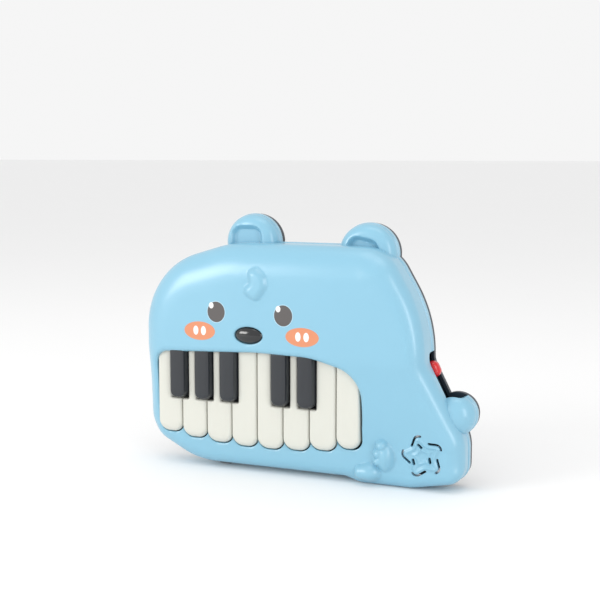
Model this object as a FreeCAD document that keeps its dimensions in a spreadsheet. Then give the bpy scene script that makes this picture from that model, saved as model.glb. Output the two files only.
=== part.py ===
import FreeCAD
import Part
import Sketcher
import math
import os

# A child's electronic keyboard in the shape of a bear: two moulded shells, thirteen hinged keys,
# a nose button, a power switch, a speaker and a battery box.
# X is to the right, Y runs from the front (negative) to the flat back, and Z is up.
# It stands on Z = 0 and its flat back is at Y = backY.

Vector = FreeCAD.Vector
doc = FreeCAD.newDocument("toy_keyboard")
sheet = doc.addObject("Spreadsheet::Sheet", "Sizes")

sizes = [
    ("faceY", -18.7, "front of the face"),
    ("panelY", -9.2, "front of the panel below the keys"),
    ("seamY", 12, "plane where the two shells meet"),
    ("backY", 20, "flat back"),
    ("wall", 2.2, "wall of both shells"),
    ("frontRound", 8, "rounding of the front shell's outer edge"),
    ("backRound", 3.5, "rounding of the back shell's outer edge"),
    ("earFrontY", 0, "front of the ears"),
    ("earRound", 4, "rounding of the ears' front edge"),
    ("earDish", 3, "depth of the dish in each ear"),
    ("leftEarRadius", 18.6, "left ear"),
    ("rightEarRadius", 19.2, "right ear"),
    ("tailFrontY", -5, "front of the tail bump"),
    ("tailRadius", 14, "tail bump"),
    ("tailRound", 9, "rounding of the tail bump"),
    ("keyPitch", 19, "from one white key to the next"),
    ("whiteFrontY", -12.2, "front of the white keys"),
    ("blackFrontY", -16.2, "front of the black keys"),
    ("skirtY", -6, "back rim of every key"),
    ("capThick", 2, "front wall of a key"),
    ("skirtThick", 1.6, "side walls of a key"),
    ("keyRound", 1.2, "rounding of the keys' front edges"),
    ("blackDraftY", -12.4, "where the black keys' sides start to taper"),
    ("blackTaper", 13, "taper of the black keys' sides in degrees"),
    ("pivotY", -7, "hinge rod, front to back"),
    ("pivotZ", 89, "hinge rod, height"),
    ("rodRadius", 1.5, "steel hinge rod"),
    ("hingeGap", 0.06, "running clearance round the rod"),
    ("plungerY", -2.6, "end of the keys' plungers"),
    ("domeY", -2.2, "top of the rubber domes"),
    ("sheetY", 1.4, "front of the rubber sheet"),
    ("boardY", 2.4, "front of the key circuit board"),
    ("frameY", 4, "front of the key frame's plate"),
    ("frameBackY", 6, "back of the key frame's plate"),
    ("mainBoardY", 9, "front of the main circuit board"),
    ("boardThick", 1.6, "circuit boards"),
    ("noseY", -20, "front of the nose button"),
    ("noseFlangeY", -16.2, "front of the nose button's flange"),
    ("noseBackY", -14.8, "back of the nose button's flange"),
    ("noseStemY", -14, "end of the nose button's stem"),
    ("tactY", -13, "front of the nose switch"),
    ("noseBoardY", -9.6, "front of the nose switch's board"),
    ("speakerY", -6.6, "front of the speaker, against the grille"),
    ("clampY", 0.2, "front of the speaker's clamp"),
    ("magnetRadius", 9.5, "speaker magnet"),
    ("speakerRadius", 15, "speaker frame"),
    ("cellRadius", 7.2, "AA cell"),
    ("cellLength", 50, "AA cell"),
    ("cellY", 10.6, "axis of the cells, front to back"),
    ("boxFloorY", 3, "floor of the battery box"),
    ("boxWall", 1.6, "walls of the battery box"),
    ("doorY", 18.2, "inside of the battery door"),
    ("postRadius", 3.3, "screw posts of the front shell"),
    ("backPostRadius", 4.4, "screw posts of the back shell"),
    ("shankRadius", 1.25, "housing screws"),
    ("headRadius", 2.8, "housing screw heads"),
    ("headSeatY", 15, "seat of the housing screws' heads"),
    ("smallShank", 1, "inner screws"),
    ("smallHead", 2.1, "inner screw heads"),
]
for row, (alias, value, note) in enumerate(sizes, start=1):
    sheet.set(f"A{row}", note)
    sheet.set(f"B{row}", str(value))
    sheet.setAlias(f"B{row}", alias)
doc.recompute()


def size(alias):
    return float(sheet.get(alias))


def bound(expression):
    """An expression on the sheet's cells, given with its aliases in angle brackets."""
    for alias, _, _ in sizes:
        expression = expression.replace(f"<{alias}>", f"Sizes.{alias}")
    return expression


# ---- outlines ----

def roundedLoop(corners):
    """Straight runs joined by tangent arcs. Each corner is (across, up, radius)."""
    stretches = []
    for number, (across, up, radius) in enumerate(corners):
        here = Vector(across, up, 0)
        before = Vector(*corners[number - 1][:2], 0) - here
        after = Vector(*corners[(number + 1) % len(corners)][:2], 0) - here
        before.normalize()
        after.normalize()
        half = before.getAngle(after) / 2
        reach = radius / math.tan(half)
        inward = before + after
        if radius:
            inward.normalize()
        middle = here + inward * (radius / math.sin(half) - radius)
        stretches.append((here + before * reach, middle, here + after * reach, radius))
    geometry = []
    for number, (start, middle, end, radius) in enumerate(stretches):
        if radius:
            geometry.append(Part.Arc(start, middle, end))
        following = stretches[(number + 1) % len(stretches)][0]
        if end.distanceToPoint(following) > 0.001:
            geometry.append(Part.LineSegment(end, following))
    return geometry


def inset(corners, distance):
    """The same clockwise loop moved inwards: outer corners tighten and inner corners open out."""
    moved = []
    for number, (across, up, radius) in enumerate(corners):
        here = Vector(across, up, 0)
        into = here - Vector(*corners[number - 1][:2], 0)
        out = Vector(*corners[(number + 1) % len(corners)][:2], 0) - here
        into.normalize()
        out.normalize()
        turn = math.atan2(into.x * out.y - into.y * out.x, into.dot(out))
        rightOfPath = Vector(into.y, -into.x, 0) + Vector(out.y, -out.x, 0)
        rightOfPath.normalize()
        shifted = here + rightOfPath * (distance / math.cos(turn / 2))
        grows = 1 if turn > 0 else -1
        moved.append((shifted.x, shifted.y, max(radius + grows * distance, 0)))
    return moved


def rectangle(left, right, low, high, radius=0):
    return roundedLoop(
        [(left, low, radius), (left, high, radius), (right, high, radius), (right, low, radius)]
    )


def circle(across, up, radius):
    return [Part.Circle(Vector(across, up, 0), Vector(0, 0, 1), radius)]


def oval(across, up, halfWidth, halfHeight):
    return [
        Part.Ellipse(
            Vector(across + halfWidth, up, 0), Vector(across, up + halfHeight, 0), Vector(across, up, 0)
        )
    ]


# ---- features ----

def newBody(label):
    body = doc.addObject("PartDesign::Body", label)
    body.Label = label
    return body


def newSketch(body, name, role, geometry, depth):
    """A sketch parallel to one of the body's planes, moved along the plane's normal."""
    sketch = body.newObject("Sketcher::SketchObject", name)
    plane = next(f for f in body.Origin.OriginFeatures if f.Role == role)
    sketch.AttachmentSupport = (plane, "")
    sketch.MapMode = "FlatFace"
    sketch.setExpression("AttachmentOffset.Base.z", bound(depth))
    sketch.addGeometry(geometry, False)
    return sketch


def pad(body, name, geometry, front, back, taper=""):
    """Solid between two depths. A taper narrows it towards the front."""
    feature = body.newObject("PartDesign::Pad", name)
    feature.Profile = newSketch(body, name + "_sketch", "XZ_Plane", geometry, f"-({back})")
    feature.setExpression("Length", bound(f"({back}) - ({front})"))
    if taper:
        feature.setExpression("TaperAngle", bound(f"-1 * ({taper})"))
    return feature


def pocket(body, name, geometry, front, back):
    feature = body.newObject("PartDesign::Pocket", name)
    feature.Profile = newSketch(body, name + "_sketch", "XZ_Plane", geometry, f"-({front})")
    feature.setExpression("Length", bound(f"({back}) - ({front})"))
    return feature


def padAcross(body, name, geometry, left, right):
    """Solid from left to right with its outline given as (depth, height)."""
    feature = body.newObject("PartDesign::Pad", name)
    feature.Profile = newSketch(body, name + "_sketch", "YZ_Plane", geometry, f"{left}")
    feature.setExpression("Length", bound(f"({right}) - ({left})"))
    return feature


def pocketAcross(body, name, geometry, left, right):
    feature = body.newObject("PartDesign::Pocket", name)
    feature.Profile = newSketch(body, name + "_sketch", "YZ_Plane", geometry, f"{right}")
    feature.setExpression("Length", bound(f"({right}) - ({left})"))
    return feature


def normalAt(face, point):
    across, up = face.Surface.parameter(point)
    return face.normalAt(across, up)


def rimEdges(shape, side):
    """Edges between a wall that runs front to back and a face that looks to the front (-1) or back (1)."""
    names = []
    for number, edge in enumerate(shape.Edges, start=1):
        middle = edge.valueAt((edge.FirstParameter + edge.LastParameter) / 2)
        looks = [normalAt(face, middle).y for face in shape.ancestorsOfType(edge, Part.Face)]
        if len(looks) == 2 and min(abs(y) for y in looks) < 0.3 and max(y * side for y in looks) > 0.6:
            names.append(f"Edge{number}")
    return names


def roundRim(body, name, side, radius, keep=None):
    """Fillet the body's front or back rim."""
    doc.recompute()
    base = body.Tip
    names = rimEdges(base.Shape, side)
    if keep:
        names = [n for n in names if keep(base.Shape.Edges[int(n[4:]) - 1].CenterOfMass)]
    feature = body.newObject("PartDesign::Fillet", name)
    feature.Base = (base, names)
    feature.setExpression("Radius", bound(radius))
    return feature


def post(name, across, up, radius, front, back):
    """Round post that runs front to back."""
    cylinder = doc.addObject("Part::Cylinder", name)
    cylinder.setExpression("Radius", bound(f"{radius}"))
    cylinder.setExpression("Height", bound(f"({back}) - ({front})"))
    cylinder.Placement = FreeCAD.Placement(
        Vector(across, 0, up), FreeCAD.Rotation(Vector(1, 0, 0), -90)
    )
    cylinder.setExpression("Placement.Base.y", bound(f"{front}"))
    return cylinder


def block(name, left, right, front, back, low, high):
    box = doc.addObject("Part::Box", name)
    box.Length = right - left
    box.Height = high - low
    box.setExpression("Width", bound(f"({back}) - ({front})"))
    box.Placement.Base = Vector(left, 0, low)
    box.setExpression("Placement.Base.y", bound(f"{front}"))
    return box


def fused(label, pieces):
    result = doc.addObject("Part::MultiFuse", label)
    result.Shapes = pieces
    result.Label = label
    return result


def cutFrom(label, base, tool):
    result = doc.addObject("Part::Cut", label)
    result.Base = base
    result.Tool = tool
    result.Label = label
    return result


def group(label, pieces):
    result = doc.addObject("Part::Compound", label)
    result.Links = pieces
    result.Label = label
    return result


def screw(name, across, up, shank, head, seat, tip, headThick):
    """Pan-head screw driven from the back: its head lies behind the seat."""
    return fused(
        name,
        [
            post(name + "_shank", across, up, shank, tip, f"{seat} + 0.5"),
            post(name + "_head", across, up, head, seat, f"{seat} + {headThick}"),
        ],
    )


# ---- the housing's outline ----

outline = [  # clockwise from the bottom left
    (-79.8, 3.2, 60),
    (-117.5, 22.4, 22),
    (-117.5, 136.4, 54),
    (-50.3, 156.5, 80),
    (59.3, 156.5, 28),
    (86, 110.3, 88),
    (86, 83.2, 12),
    (111.3, 34.3, 28),
    (111.3, 6.8, 12),
    (76, 0, 50),
    (41, 0, 10),
    (30.5, 3.2, 14),
]
leftEar = (-38.3, 156.4)
rightEar = (45, 151.4)
tail = (103.5, 49.5)
frontProfile = [  # (depth, height) of the space in front of the housing
    (-40, -10, 0),
    (-40, 170, 0),
    (-10.5, 170, 0),
    (-18.7, 112, 90),
    (-18.7, 82, 40),
    (-9.2, 26, 30),
    (-9.2, -10, 0),
]
housingPosts = [(-96, 118), (30, 146), (72, 104), (59, 50), (-88, 14.5), (22, 10.5), (62, 11)]
framePosts = [(-97, 96.5), (40, 96.5), (-50, 11.5), (-9, 11.5)]
nosePosts = [(-43.5, 105), (-20.5, 105)]
clampPosts = [(66.4, 23.4), (104.6, 23.4)]
boardPosts = [(-56, 34), (-56, 76), (6, 34), (6, 76)]
nose = (-33.3, 95.8)
star = (85.5, 23.4)


def frontBlank(label, margin):
    """The front shell's solid form, or the space inside it when the margin is the wall."""
    body = newBody(label)
    loop = inset(outline, margin) if margin else outline
    pad(body, label + "_block", roundedLoop(loop), "-20.5", "<seamY>")
    profile = [(depth + margin, height, radius) for depth, height, radius in frontProfile]
    profile[0] = (-40, -10, 0)
    profile[1] = (-40, 170, 0)
    pocketAcross(body, label + "_front", roundedLoop(profile), "-130", "130")
    roundRim(body, label + "_rim", -1, f"<frontRound> - {margin}")
    return body


def roundBlank(label, centre, radius, front, back, rounding, side=-1):
    body = newBody(label)
    pad(body, label + "_disc", circle(*centre, 1), front, back)
    sketch = body.Tip.Profile[0]
    sketch.addConstraint(Sketcher.Constraint("Radius", 0, 1))
    sketch.renameConstraint(0, "radius")
    sketch.setExpression("Constraints.radius", bound(radius))
    roundRim(body, label + "_rim", side, rounding)
    return body


# ---- the keys ----

keyCount = 8
firstGap = -87.35  # between the first and second white keys
fieldLeft = -105.7
fieldRight = 43.2
endArcRadius = 408  # the white keys' lower ends lie on this arc
endArcMiddle = -29.5
endArcLow = 18
keyGap = 0.3  # half the space between two keys
keyTop = 92
shoulderZ = 49.2  # where a white key narrows beside a black key
blackHalfWidth = 6.15
blackLow = 50
blackHigh = 86
neckWidth = 5.2
blackGaps = [0, 1, 2, 4, 5]  # a black key lies over each of these gaps
blackShift = -1.5  # and stands a little to the left of its middle


def gapX(number):
    return firstGap + number * size("keyPitch")


def blackMiddle(gap):
    return gapX(gap) + blackShift


def whiteKeySides(number):
    left = fieldLeft if number == 0 else gapX(number - 1) + keyGap
    right = fieldRight if number == keyCount - 1 else gapX(number) - keyGap
    return left, right


def whiteKeyEnd(number):
    away = (gapX(number) - size("keyPitch") / 2) - endArcMiddle
    return endArcLow + endArcRadius - math.sqrt(endArcRadius ** 2 - away ** 2)


def hingeArm(body, name, middle, width):
    """Arm and barrel that carry a key on the rod, with the rod's bore."""
    y, z = size("pivotY"), size("pivotZ")
    capBack = size("whiteFrontY") + size("capThick")
    arm = [
        (capBack - 0.5, z - 6, 0),
        (capBack - 0.5, z + 3, 0),
        (y + 3, z + 3, 2.9),
        (y + 3, z - 3, 2.5),
        (y + 1, z - 6, 0),
    ]
    padAcross(body, name + "_arm", roundedLoop(arm), middle - width / 2, middle + width / 2)
    bore = circle(y, z, size("rodRadius") + size("hingeGap"))
    pocketAcross(body, name + "_bore", bore, middle - width / 2 - 1, middle + width / 2 + 1)


def whiteKey(number):
    name = f"white_key_{number + 1}"
    body = newBody(name)
    left, right = whiteKeySides(number)
    low = whiteKeyEnd(number)
    clear = blackHalfWidth + 0.5
    neckLeft = blackMiddle(number - 1) + clear if number - 1 in blackGaps else left
    neckRight = blackMiddle(number) - clear if number in blackGaps else right
    loop = [(left, low, 7.4)]
    if neckLeft > left:
        loop += [(left, shoulderZ, 0), (neckLeft, shoulderZ, 1.5)]
    loop += [(neckLeft, keyTop, 0), (neckRight, keyTop, 0)]
    if neckRight < right:
        loop += [(neckRight, shoulderZ, 1.5), (right, shoulderZ, 0)]
    loop += [(right, low, 7.4)]
    pad(body, name + "_cap", roundedLoop(loop), "<whiteFrontY>", "<whiteFrontY> + <capThick>")
    skirt = [(a, min(u, size("pivotZ") - 5), r) for a, u, r in loop]
    pad(body, name + "_skirt", roundedLoop(skirt), "<whiteFrontY> + <capThick> - 0.5", "<skirtY>")
    wall = size("skirtThick")
    hollow = rectangle(left + wall, right - wall, low + wall, shoulderZ - wall, 5)
    pocket(body, name + "_hollow", hollow, "<whiteFrontY> + <capThick>", "<skirtY> + 1")
    middle = (left + right) / 2
    plunger = rectangle(middle - 2.5, middle + 2.5, 35.5, 40.5)
    pad(body, name + "_plunger", plunger, "<whiteFrontY> + <capThick> - 0.5", "<plungerY>")
    hingeArm(body, name, (neckLeft + neckRight) / 2, min(neckWidth, neckRight - neckLeft))
    roundRim(body, name + "_edge", -1, "<keyRound>", lambda c: c.y < size("whiteFrontY") + 0.01)
    return body


def blackKey(order, gap):
    name = f"black_key_{order + 1}"
    body = newBody(name)
    middle = blackMiddle(gap)
    left, right = middle - blackHalfWidth, middle + blackHalfWidth
    loop = [(left, blackLow, 4), (left, blackHigh, 0), (right, blackHigh, 0), (right, blackLow, 4)]
    pad(body, name + "_base", roundedLoop(loop), "<blackDraftY>", "<skirtY>")
    pad(body, name + "_cap", roundedLoop(loop), "<blackFrontY>", "<blackDraftY>", "<blackTaper>")
    wall = size("skirtThick")
    hollow = rectangle(left + wall, right - wall, blackLow + wall, blackHigh - 6, 2)
    pocket(body, name + "_hollow", hollow, "<blackDraftY> + 0.5", "<skirtY> + 1")
    plunger = rectangle(middle - 2.5, middle + 2.5, 59.5, 64.5)
    pad(body, name + "_plunger", plunger, "<blackDraftY>", "<plungerY>")
    hingeArm(body, name, middle, 8)
    roundRim(body, name + "_edge", -1, "0.9", lambda c: c.y < size("blackFrontY") + 0.01)
    return body


whiteKeys = [whiteKey(number) for number in range(keyCount)]
blackKeys = [blackKey(order, gap) for order, gap in enumerate(blackGaps)]


# ---- front shell ----

def keyOpening():
    """Space for the key field: a wide window and a round-ended slot for each white key's lower end."""
    window = [
        (-106.4, 33, 0),
        (-106.4, 80.4, 10),
        (-30, 84.2, 150),
        (10, 83.3, 60),
        (44.5, 73.5, 22),
        (44.5, 33, 0),
    ]
    body = newBody("key_opening")
    pad(body, "key_window", roundedLoop(window), "-30", "<whiteFrontY> + 10")
    slots = []
    for number in range(keyCount):
        left, right = whiteKeySides(number)
        low = whiteKeyEnd(number) - 0.7
        slot = newBody(f"key_slot_{number + 1}")
        loop = [(left - 0.6, low, 7.8), (left - 0.6, 40, 0), (right + 0.6, 40, 0), (right + 0.6, low, 7.8)]
        pad(slot, f"key_slot_{number + 1}_pad", roundedLoop(loop), "-30", "<whiteFrontY> + 10")
        slots.append(slot)
    return [body] + slots


def grilleSlots():
    """One slot along a side of each of the star's points, and a shorter one nearer the middle."""
    slots = []
    for ring, (reach, length) in enumerate([(10.8, 8), (5.2, 4)]):
        for step in range(5):
            angle = math.radians(105 - 72 * step + 22)
            slot = doc.addObject("Part::Box", f"grille_slot_{ring}_{step}")
            slot.Length = length
            slot.Height = 1
            slot.Width = 12
            turn = FreeCAD.Rotation(Vector(0, 1, 0), -math.degrees(angle) - 62)
            centre = Vector(star[0] + reach * math.cos(angle), -6, star[1] + reach * math.sin(angle))
            slot.Placement = FreeCAD.Placement(centre - turn.multVec(Vector(length / 2, 6, 0.5)), turn)
            slots.append(slot)
    return slots


waistTop = Vector(85.6, 0, 84.5)  # the switch panel's surface, from top to bottom
waistLow = Vector(95.5, 0, 64)
waistDown = (waistLow - waistTop).normalize()
waistOut = Vector(-waistDown.z, 0, waistDown.x)
waistAngle = math.degrees(math.atan2(-waistDown.x, -waistDown.z))
panelSink = 2.6  # the switch panel lies this far inside the housing's outline


def waistBlock(name, along, length, depth, thick, front, back):
    """Block in the waist's own directions: along the slope from its top, and out from the panel."""
    box = doc.addObject("Part::Box", name)
    box.Length = thick
    box.Height = length
    box.setExpression("Width", bound(f"({back}) - ({front})"))
    corner = waistTop + waistDown * (along + length) + waistOut * depth
    turn = FreeCAD.Rotation(Vector(0, 1, 0), waistAngle)
    box.Placement = FreeCAD.Placement(corner, turn)
    box.setExpression("Placement.Base.y", bound(front))
    return box


switchFrontY = 3  # front edge of the switch panel


def dishedEar(name, centre, radius, dishCorners):
    """Ear with a shallow dish in its front."""
    dish = newBody(name + "_dish")
    pad(dish, name + "_dish_pad", roundedLoop(dishCorners), "<earFrontY> - 1", "<earDish>")
    disc = roundBlank(name + "_disc", centre, radius, "<earFrontY>", "<seamY>", "<earRound>")
    return cutFrom(name + "_form", disc, dish)


def bulge(name, across, up, halfWidth, halfHeight, front):
    """Rounded bump on the housing's front, for the paw and the foot."""
    form = doc.addObject("Part::Ellipsoid", name)
    form.Radius1 = halfHeight
    form.Radius2 = halfWidth
    form.Radius3 = 6
    form.Placement.Base = Vector(across, front + 6, up)
    return form


shellForm = fused(
    "shell_form",
    [
        frontBlank("shell_outer", 0),
        dishedEar(
            "left_ear",
            leftEar,
            "<leftEarRadius>",
            [(-51, 150, 0), (-51, 167, 4.4), (-30, 167, 4.4), (-30, 150, 0)],
        ),
        dishedEar(
            "right_ear",
            rightEar,
            "<rightEarRadius>",
            [(30, 145, 0), (36.5, 163.5, 5), (53.5, 160.5, 5), (53, 145, 0)],
        ),
        roundBlank("tail_form", tail, "<tailRadius>", "<tailFrontY>", "<seamY>", "<tailRound>"),
        bulge("paw", 59.5, 23, 7, 9, -13.5),
        bulge("foot", 49, 9.5, 9, 6.5, -13),
    ],
)
wallSize = size("wall")
hollows = [
    frontBlank("shell_hollow", wallSize),
    post("left_ear_hollow", *leftEar, "<leftEarRadius> - <wall>", "<earDish> + <wall>", "<seamY> + 1"),
    post("right_ear_hollow", *rightEar, "<rightEarRadius> - <wall>", "<earDish> + <wall>", "<seamY> + 1"),
    post("tail_hollow", *tail, "<tailRadius> - <wall> - 2", "<tailFrontY> + <wall> + 2", "<seamY> + 1"),
]
noseHole = newBody("nose_hole")
pad(noseHole, "nose_hole_pad", oval(*nose, 10.3, 5.75), "-30", "-10")
scoop = waistBlock("switch_scoop", -4, 31, -panelSink, 20, f"{switchFrontY - 0.4}", "<seamY> + 1")

shellWalls = cutFrom(
    "shell_walls",
    shellForm,
    fused(
        "shell_spaces",
        hollows + [noseHole, scoop] + keyOpening() + grilleSlots(),
    ),
)


def startOfPost(up):
    """Depth just inside the front wall's outer surface at a height."""
    walls = [(height, depth) for depth, height, _ in reversed(frontProfile[2:])]
    for (low, lowDepth), (high, highDepth) in zip(walls, walls[1:]):
        if low <= up <= high:
            return f"{lowDepth + (highDepth - lowDepth) * (up - low) / (high - low) + 1:.2f}"


posts = [post(f"housing_post_{n}", x, z, "<postRadius>", startOfPost(z), "<seamY>")
         for n, (x, z) in enumerate(housingPosts)]
posts += [post(f"frame_post_{n}", x, z, "<postRadius>", startOfPost(z), "<frameY>")
          for n, (x, z) in enumerate(framePosts)]
posts += [post(f"nose_post_{n}", x, z, "2.5", startOfPost(z), "<noseBoardY>")
          for n, (x, z) in enumerate(nosePosts)]
posts += [post(f"clamp_post_{n}", x, z, "2.6", startOfPost(z), "<clampY>")
          for n, (x, z) in enumerate(clampPosts)]
pilots = [post(f"housing_pilot_{n}", x, z, "<shankRadius>", "2", "<seamY> + 1")
          for n, (x, z) in enumerate(housingPosts)]
pilots += [post(f"frame_pilot_{n}", x, z, "<smallShank>", "<frameY> - 8", "<frameY> + 1")
           for n, (x, z) in enumerate(framePosts)]
pilots += [post(f"nose_pilot_{n}", x, z, "<smallShank>", "<noseBoardY> - 5", "<noseBoardY> + 1")
           for n, (x, z) in enumerate(nosePosts)]
pilots += [post(f"clamp_pilot_{n}", x, z, "<smallShank>", "<clampY> - 6", "<clampY> + 1")
           for n, (x, z) in enumerate(clampPosts)]
frontShell = cutFrom("front_shell", fused("shell_with_posts", [shellWalls] + posts), fused("pilots", pilots))


# ---- back shell ----

def backBlank(label, margin, back):
    body = newBody(label)
    loop = inset(outline, margin) if margin else outline
    pad(body, label + "_plate", roundedLoop(loop), "<seamY>", back)
    if not margin:
        roundRim(body, label + "_rim", 1, "<backRound>")
    return body


boxLeft, boxRight = -51, 11
boxLow, boxHigh = 101.8, 150.8
cellMiddle = (boxLeft + boxRight) / 2
cellPitch = 15.2
cellHeights = [(boxLow + boxHigh) / 2 + cellPitch * step for step in (-1, 0, 1)]

backForm = fused(
    "back_form",
    [
        backBlank("back_outer", 0, "<backY>"),
        roundBlank("left_ear_back", leftEar, "<leftEarRadius>", "<seamY>", "<backY>", "<backRound>", 1),
        roundBlank("right_ear_back", rightEar, "<rightEarRadius>", "<seamY>", "<backY>", "<backRound>", 1),
        roundBlank("tail_back", tail, "<tailRadius>", "<seamY>", "<backY>", "<backRound>", 1),
    ],
)
backSpaces = fused(
    "back_spaces",
    [
        backBlank("back_hollow", wallSize, "<backY> - <wall>"),
        post("left_ear_back_hollow", *leftEar, "<leftEarRadius> - <wall>", "<seamY>", "<backY> - <wall>"),
        post("right_ear_back_hollow", *rightEar, "<rightEarRadius> - <wall>", "<seamY>", "<backY> - <wall>"),
        post("tail_back_hollow", *tail, "<tailRadius> - <wall>", "<seamY>", "<backY> - <wall>"),
    ],
)
backWalls = cutFrom("back_walls", backForm, backSpaces)
switchPanel = waistBlock("switch_panel", -3.6, 30.2, -panelSink - 2, 2, f"{switchFrontY}", "<backY> - 1")
switchSlot = waistBlock("switch_slot", 3.4, 12.8, -panelSink - 3, 8, "5.6", "9.4")
batteryBox = block("battery_box", boxLeft, boxRight, "<boxFloorY> - <boxWall>", "<doorY>", boxLow, boxHigh)
boxWall = size("boxWall")
boxInside = block(
    "battery_box_inside",
    boxLeft + boxWall,
    boxRight - boxWall,
    "<boxFloorY>",
    "<doorY> + 1",
    boxLow + boxWall,
    boxHigh - boxWall,
)
doorGap = 0.3
doorSeat = block(
    "door_seat",
    boxLeft - doorGap,
    boxRight + doorGap,
    "<doorY>",
    "<backY> + 1",
    boxLow - doorGap,
    boxHigh + doorGap,
)
doorPost = (cellMiddle, boxLow - 4.5)
backPosts = [post(f"back_post_{n}", x, z, "<backPostRadius>", "<seamY>", "<backY> - 1")
             for n, (x, z) in enumerate(housingPosts)]
backPosts.append(post("door_post", *doorPost, "3.2", "<seamY>", "<doorY>"))
backHoles = [post(f"back_hole_{n}", x, z, "<shankRadius> + 0.4", "<seamY> - 1", "<headSeatY> + 1")
             for n, (x, z) in enumerate(housingPosts)]
backHoles += [post(f"back_sink_{n}", x, z, "<headRadius> + 0.4", "<headSeatY>", "<backY> + 1")
              for n, (x, z) in enumerate(housingPosts)]
doorTab = block(
    "door_tab_seat", doorPost[0] - 6.3, doorPost[0] + 6.3, "<doorY>", "<backY> + 1", boxLow - 9.3, boxLow + 1
)
doorPilot = post("door_pilot", *doorPost, "<smallShank>", "<seamY> + 1", "<doorY> + 1")
backShell = cutFrom(
    "back_shell",
    fused("back_with_posts", [backWalls, switchPanel, batteryBox] + backPosts),
    fused("back_cuts", [boxInside, doorSeat, doorTab, doorPilot, switchSlot] + backHoles),
)


# ---- battery compartment ----

batteryDoor = cutFrom(
    "battery_door",
    fused(
        "door_form",
        [
            block("door_plate", boxLeft, boxRight, "<doorY>", "<backY>", boxLow, boxHigh),
            block("door_tab", doorPost[0] - 6, doorPost[0] + 6, "<doorY>", "<backY>", boxLow - 9, boxLow + 1),
        ],
    ),
    fused(
        "door_screw_space",
        [
            post("door_screw_hole", *doorPost, "<smallShank> + 0.2", "<doorY> - 1", "<backY>"),
            post("door_screw_sink", *doorPost, "<smallHead> + 0.3", "<backY> - 1", "<backY> + 1"),
        ],
    ),
)
doorScrew = screw(
    "battery_door_screw",
    *doorPost,
    "<smallShank>",
    "<smallHead>",
    "<backY> - 1",
    "<seamY> + 2",
    0.9,
)


def batteryCell(number):
    """AA cell lying along X, with the raised contact at alternate ends."""
    name = f"battery_cell_{number + 1}"
    body = newBody(name)
    end = 1 if number % 2 == 0 else -1
    half = size("cellLength") / 2 - 0.8
    up = cellHeights[number]
    depth = size("cellY")
    can = circle(depth, up, size("cellRadius"))
    padAcross(body, name + "_can", can, cellMiddle - half, cellMiddle + half)
    button = circle(depth, up, 2.7)
    tip = [cellMiddle + end * (half - 1), cellMiddle + end * (half + 0.8)]
    padAcross(body, name + "_button", button, min(tip), max(tip))
    return body


cells = [batteryCell(number) for number in range(3)]


def contactSpring(number, start, way, up):
    """Coils pressed flat, one behind the other, each joined to the next at alternate sides."""
    y = size("cellY")
    across = FreeCAD.Rotation(Vector(0, 1, 0), 90)
    parts = []
    for turn in range(springTurns):
        x = start + way * turn * springPitch
        coil = doc.addObject("Part::Torus", f"spring_{number}_coil_{turn}")
        coil.Radius1 = springRadius
        coil.Radius2 = springWire
        coil.Placement = FreeCAD.Placement(Vector(x, y, up), across)
        parts.append(coil)
        if turn:
            link = doc.addObject("Part::Cylinder", f"spring_{number}_link_{turn}")
            link.Radius = springWire * 0.8
            link.Height = springPitch
            side = springRadius * (1 if turn % 2 else -1)
            link.Placement = FreeCAD.Placement(Vector(min(x, x - way * springPitch), y, up + side), across)
            parts.append(link)
    return fused(f"battery_spring_{number}", parts)


springRadius = 3.6
springWire = 0.45
springPitch = 1.15
springTurns = 3


def contactPieces():
    """Contact plates against both end walls of the battery box, and the coil springs on them."""
    plates = []
    springs = []
    for number, up in enumerate(cellHeights):
        end = 1 if number % 2 == 0 else -1
        for side in (-1, 1):
            wallX = cellMiddle + side * 29.4
            name = f"contact_{number}_{side + 1}"
            left, right = sorted((wallX, wallX - side * 0.4))
            plates.append(block(name, left, right, "<cellY> - 5", "<cellY> + 5", up - 5, up + 5))
        springs.append(contactSpring(number, cellMiddle - end * 28.5, end, up))
    return plates, springs


contactPlates, contactSprings = contactPieces()
batteryContacts = group("battery_contacts", contactPlates)
batterySprings = group("battery_springs", contactSprings)


# ---- key frame, hinge rod and contacts ----

frameLeft, frameRight = -108.5, 46.5
lugWidth = 2.2
middleLug = gapX(3)
frameTop = 100


def hingeEar(name, left, right):
    """Lug that carries the rod in front of the frame's plate."""
    body = newBody(name)
    y, z = size("pivotY"), size("pivotZ")
    plate = size("frameY") + 1
    side = [(y - 2.7, z - 3, 2.6), (y - 2.7, z + 3, 2.6), (plate, z + 6, 0), (plate, z - 6, 0)]
    padAcross(body, name + "_lug", roundedLoop(side), left, right)
    return body


framePlate = newBody("frame_plate")
pad(
    framePlate,
    "frame_plate_pad",
    rectangle(frameLeft, frameRight, 26, frameTop, 4),
    "<frameY>",
    "<frameBackY>",
)
frameTabs = [
    block(f"frame_tab_{n}", x - 5, x + 5, "<frameY>", "<frameBackY>", 7.5, 28)
    for n, (x, z) in enumerate(framePosts[2:])
]
standoffs = [
    post(f"board_standoff_{n}", x, z, "2.4", "<frameY> + 1", "<mainBoardY>")
    for n, (x, z) in enumerate(boardPosts)
]
rodBore = doc.addObject("Part::Cylinder", "rod_bore")
rodBore.setExpression("Radius", bound("<rodRadius>"))
rodBore.Height = 170
rodBore.Placement = FreeCAD.Placement(Vector(-115, 0, 0), FreeCAD.Rotation(Vector(0, 1, 0), 90))
rodBore.setExpression("Placement.Base.y", bound("<pivotY>"))
rodBore.setExpression("Placement.Base.z", bound("<pivotZ>"))
frameHoles = [
    post(f"frame_hole_{n}", x, z, "<smallShank> + 0.3", "<frameY> - 1", "<frameBackY> + 1")
    for n, (x, z) in enumerate(framePosts)
]
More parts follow.
